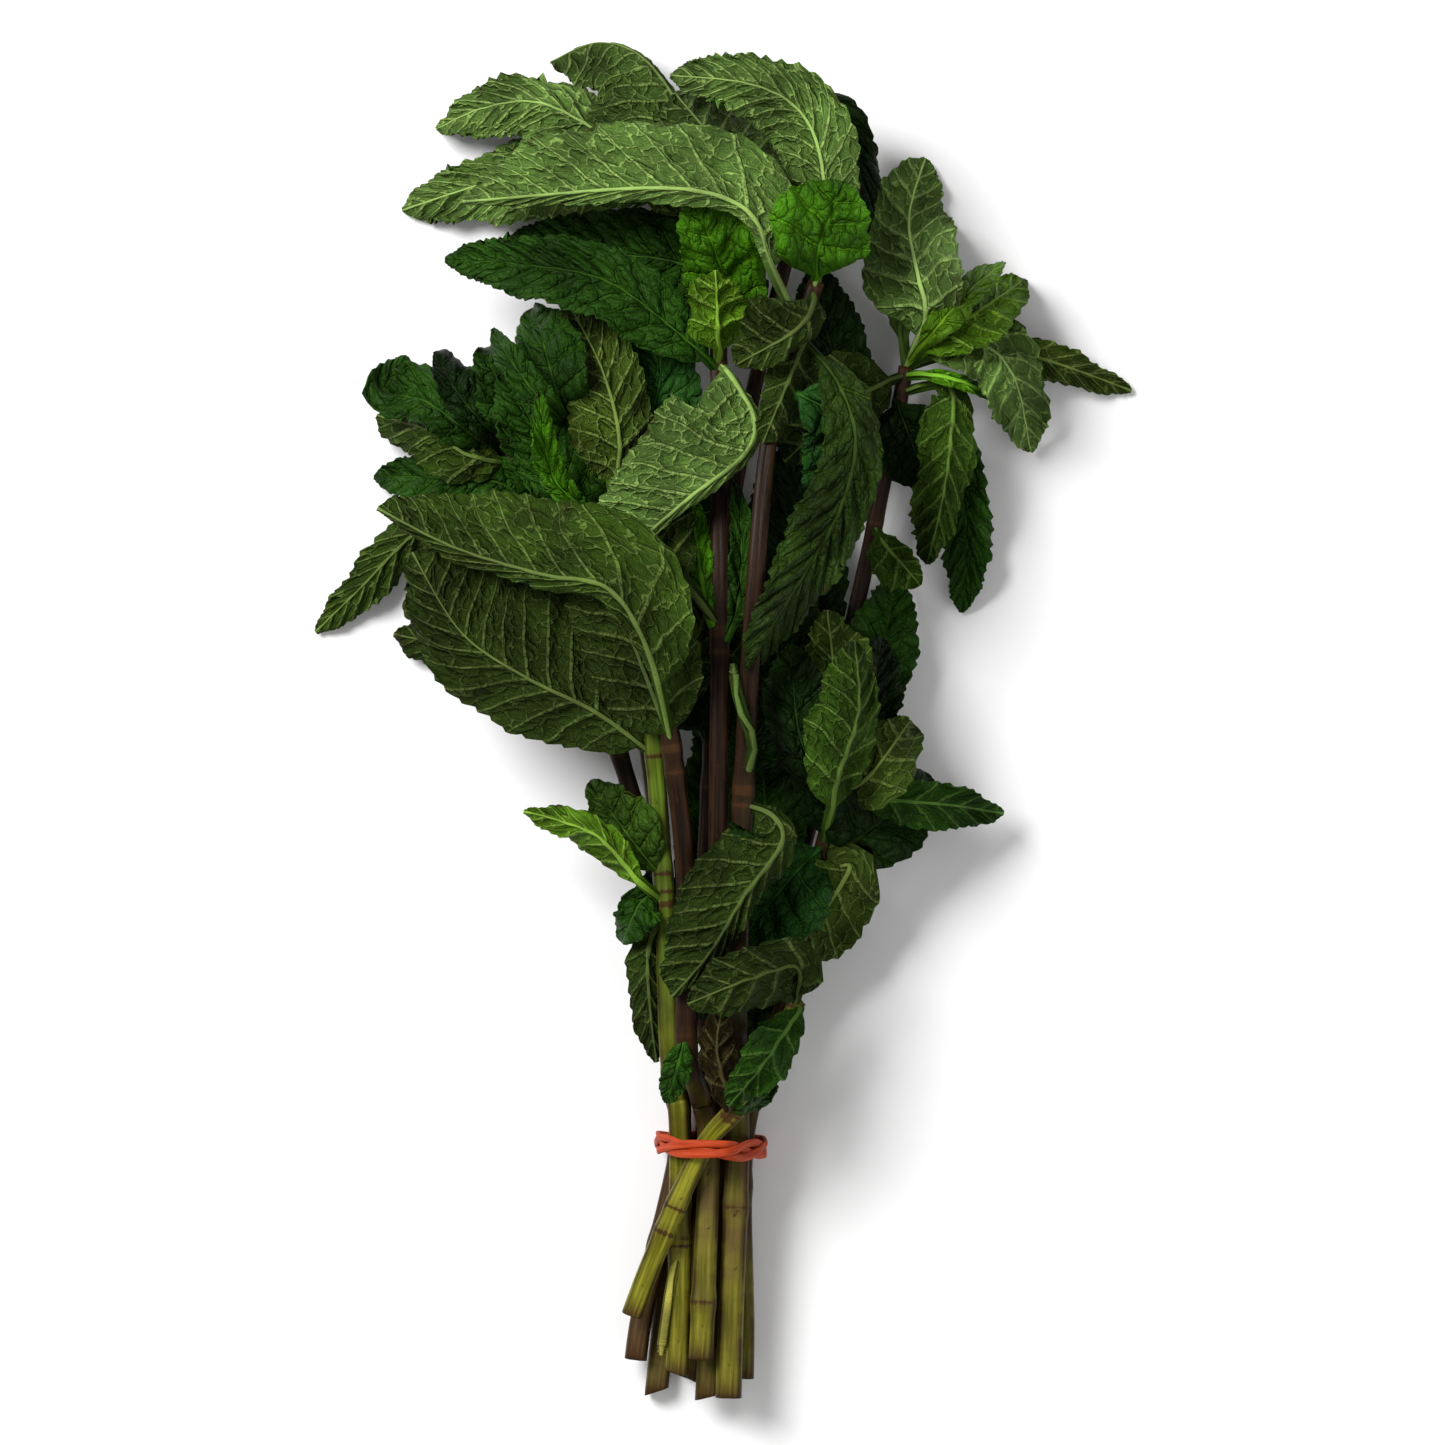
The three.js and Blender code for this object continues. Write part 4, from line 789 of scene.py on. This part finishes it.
def leafMaterial(kind):
    face, under = leafFaces[kind], kind == "under"
    material, tree, shader = newMaterial(face["name"])
    phase, across, spacing = separated(tree, attribute(tree, "leafShape"))
    blade, edge, strength = separated(tree, attribute(tree, "leafMore"))
    tint = attribute(tree, kind + "Tint")
    flat = add(tree, "UVMap", uv_map="leafMm").outputs["UV"]
    # Side veins: distance in mm from the nearest one, a little wavy.
    wavy = plus(tree, phase, swing(tree, noise(tree, flat, 0.25), 0.22))
    toVein = maths(tree, "FRACT", plus(tree, wavy, 0.5))
    away = times(tree, maths(tree, "ABSOLUTE", maths(tree, "SUBTRACT", toVein, 0.5)), spacing)
    sideVein = veinLine(tree, away, ramp(tree, edge, 0, 1, 0.55, 0.26), 0.35)
    sideVein = times(tree, sideVein, ramp(tree, phase, 0.3, 0.7))
    ribWidth = ramp(tree, blade, 0, 1, 0.55, 0.16)
    rib = veinLine(tree, maths(tree, "ABSOLUTE", across), ribWidth, 0.5)
    veins = maths(tree, "MAXIMUM", rib, times(tree, sideVein, leafSkin["sideVein"]))
    # The net between them: branches of about 2 mm and finer ones in them.
    sway = add(tree, "VectorMath", {0: noise(tree, flat, 0.5, output="Color"), "Scale": 0.9},
               operation="SCALE").outputs[0]
    flow = add(tree, "CombineXYZ", {0: times(tree, wavy, 1.7), 1: times(tree, across, 0.42)}).outputs[0]
    flow = add(tree, "VectorMath", {0: flow, 1: sway}, operation="ADD").outputs[0]
    coarse, fine = netEdges(tree, flow, 1, 0.85), netEdges(tree, flow, 2.7)
    net = maths(tree, "MAXIMUM", ramp(tree, coarse, 0, 0.12, 1, 0), ramp(tree, fine, 0, 0.1, 0.4, 0))
    offRib = times(tree, ramp(tree, phase, 0, 0.3), maths(tree, "SUBTRACT", 1, rib))
    net = times(tree, net, offRib)
    cell = times(tree, ramp(tree, coarse, 0, 0.42), offRib)
    # Colour: patchy blade, pale veins, painted shade in the sunken net of the top face, a browner rim here and there.
    patch = noise(tree, flat, 0.09, 4)
    light = ramp(tree, patch, 0.3, 0.7, leafSkin["patchLow"], leafSkin["patchHigh"])
    light = add(tree, "CombineColor", {0: light, 1: light, 2: light}).outputs[0]
    colour = multiplied(tree, tint, light)
    pale = multiplied(tree, colour, face["veinTimes"])
    pale = mix(tree, strength, pale, face["veinPlus"], "ADD")
    netShare = maths(tree, "MULTIPLY", times(tree, net, strength), face["net"], clamp=True)
    colour = mix(tree, netShare, colour, pale)
    colour = mix(tree, veins if under else times(tree, veins, leafSkin["topVeins"]), colour, pale)
    # Painted shade in the grooves of the sunken net on the top face.
    if not under:
        shade = multiplied(tree, colour, leafSkin["paintedNetShade"])
        colour = mix(tree, ramp(tree, coarse, 0, 0.16, 0.4, 0), colour, shade)
    spots = noise(tree, flat, 0.22, 6, 0.65)
    rim = plus(tree, times(tree, ramp(tree, edge, 0.75, 1), 0.1), times(tree, ramp(tree, blade, 0.8, 1), 0.08))
    brown = times(tree, ramp(tree, plus(tree, spots, rim), 0.66, 0.74), leafSkin["brownShare"])
    colour = mix(tree, brown, colour, leafSkin["brown"])
    # Height of the skin: veins and net stand out below and sink in above.
    grain, way = noise(tree, flat, 3.2, 3), face["way"]
    height = plus(tree, times(tree, veins, 0.9 * way), times(tree, net, 0.55 * way))
    height = plus(tree, height, times(tree, cell, -0.5 * way))
    height = plus(tree, height, times(tree, grain, 0.18))
    finish(tree, shader, colour, height, leafSkin["bump"], face["bump"], face["roughness"], face["specular"])
    return material


def stemMaterial():
    material, tree, shader = newMaterial("mint stem skin")
    purpleShare, toJoint, ridge = separated(tree, attribute(tree, "stemTone"))
    flat = add(tree, "UVMap", uv_map="stemMm").outputs["UV"]
    stretched = add(tree, "Mapping", {"Vector": flat, "Scale": (0.05, 0.9, 1)}).outputs[0]
    streak = noise(tree, stretched, 1, 5, 0.6)
    patch = noise(tree, flat, 0.11, 4)
    share = plus(tree, purpleShare, swing(tree, streak, 0.9))
    share = plus(tree, share, swing(tree, patch, 0.8))
    share = ramp(tree, share, 0.15, 0.8)
    # The skin changes along the stem: olive and brown near the cut, green and purple farther up.
    place = separated(tree, flat)[0]

    def streaked(name):
        return mix(tree, ramp(tree, streak, 0.35, 0.7), stemForm[name + "Low"], stemForm[name + "High"])

    olive, fresh = streaked("olive"), streaked("fresh")
    green = mix(tree, ramp(tree, place, *stemForm["freshFrom"]), olive, fresh)
    purple, brown = streaked("purple"), streaked("brown")
    purple = mix(tree, ramp(tree, place, *stemForm["purpleFrom"]), brown, purple)
    colour = mix(tree, share, green, purple)
    # Brown ridges, joints and ends, and painted shade along the corners.
    rust = times(tree, ridge, ramp(tree, patch, 0.36, 0.56, 0, 0.9))
    joint = plus(tree, toJoint, swing(tree, streak, 2.2))
    end = plus(tree, place, times(tree, streak, 8))
    for away, *limits in ((joint, 0.15, 0.7, 0.95, 0), (joint, 0.3, 3, 0.3, 0), (end, 3.5, 9.5, 0.95, 0)):
        rust = maths(tree, "MAXIMUM", rust, ramp(tree, away, *limits))
    colour = mix(tree, rust, colour, stemForm["rust"])
    # Painted shade: the corners are darker, as the sides of the square stem turn away from the light.
    paintedRidgeShadeShare = times(tree, ridge, 0.6)
    colour = mix(tree, paintedRidgeShadeShare, colour, multiplied(tree, colour, stemForm["paintedRidgeShade"]))
    scar = noise(tree, flat, 0.35, 5, 0.7)
    colour = mix(tree, ramp(tree, scar, 0.62, 0.68, 0, 0.8), colour, stemForm["scar"])
    height = plus(tree, streak, times(tree, scar, 0.35))
    finish(tree, shader, colour, height, 0.6, 0.0003, 0.42, 0.12)
    return material


cutLook = {"low": (0.04, 0.02, 0.009, 1), "high": (0.12, 0.095, 0.036, 1), "pore": (0.03, 0.018, 0.009, 1)}


def cutMaterial():
    material, tree, shader = newMaterial("browned cut")
    place = add(tree, "TexCoord").outputs["Object"]
    cells = add(tree, "TexVoronoi", {"Vector": place, "Scale": 2600}).outputs["Distance"]
    patch = noise(tree, place, 500, 4)
    colour = mix(tree, ramp(tree, patch, 0.35, 0.65), cutLook["low"], cutLook["high"])
    colour = mix(tree, ramp(tree, cells, 0.1, 0.5, 0.5, 0), colour, cutLook["pore"])
    finish(tree, shader, colour, cells, 0.6, 0.0002, 0.75)
    return material


def rubberMaterial():
    material, tree, shader = newMaterial("orange rubber")
    flat = add(tree, "UVMap", uv_map="bandMm").outputs["UV"]
    stretched = add(tree, "Mapping", {"Vector": flat, "Scale": (0.12, 1.2, 1)}).outputs[0]
    streak = noise(tree, stretched, 1, 4)
    dust = noise(tree, flat, 2.5, 5, 0.7)
    colour = mix(tree, ramp(tree, streak, 0.3, 0.7), band["deep"], band["bright"])
    colour = mix(tree, ramp(tree, dust, 0.55, 0.75, 0, 0.15), colour, band["dust"])
    finish(tree, shader, colour, plus(tree, streak, times(tree, dust, 0.3)), 0.4, 0.0002, 0.55, 0.12)
    return material


leafTop, leafUnder = leafMaterial("top"), leafMaterial("under")
stemSkin, cutEnd, rubber = stemMaterial(), cutMaterial(), rubberMaterial()

for stem in laid:
    for piece in (growLeaves(stem), growStem(stem)):
        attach(piece, "root")
        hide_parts(stem["name"])
    print("grown", stem["name"])
strands = windBand()
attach(strands, "root")
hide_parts("rubber_band")
print("band wound")

# Floor, lights and camera, above the middle of the plan.
setting = {"width": drawing["side"] / drawing["scale"] / 1000, "distance": 1.3, "height": 0.025, "sensor": 36,
           "floorSize": 3, "floorDrop": 0.0004, "floorColour": (0.86, 0.86, 0.86, 1), "aimHeight": 0.02,
           "windowAt": (-0.7, 0.56, 1.08), "windowSize": 0.6, "windowPower": 25,
           "fillAt": (0.9, -0.5, 1.2), "fillSize": 1.2, "fillPower": 4, "world": 0.42}
middleX, middleY = float(shift[0]) / 1000, float(shift[1]) / 1000

paper, _, paperShader = newMaterial("pale table")
paperShader.inputs["Base Color"].default_value = setting["floorColour"]
paperShader.inputs["Roughness"].default_value = 0.9
bm = bmesh.new()
bmesh.ops.create_grid(bm, x_segments=1, y_segments=1, size=setting["floorSize"])
bmesh.ops.translate(bm, verts=bm.verts, vec=(0, 0, -setting["floorDrop"]))
floor = makePiece(bm, "floor", paper)

for name in ("window", "fill"):
    lamp = bpy.data.lights.new(name, "AREA")
    lamp.size, lamp.energy = setting[name + "Size"], setting[name + "Power"]
    holder = newObject(name, lamp)
    holder.location = setting[name + "At"]
    aim = Vector((middleX, middleY, setting["aimHeight"])) - Vector(setting[name + "At"])
    holder.rotation_euler = aim.to_track_quat("-Z", "Y").to_euler()

world = bpy.data.worlds.new("studio")
bpy.context.scene.world = world
world.use_nodes = True
sky = world.node_tree.nodes["Background"].inputs
sky["Color"].default_value = (1, 1, 1, 1)
sky["Strength"].default_value = setting["world"]

lens = bpy.data.cameras.new("camera")
lens.sensor_width = setting["sensor"]
lens.lens = setting["sensor"] * setting["distance"] / setting["width"]
camera = newObject("camera", lens)
camera.location = (middleX, middleY, setting["distance"] + setting["height"])
bpy.context.scene.camera = camera
bpy.context.scene.view_settings.view_transform = "Standard"
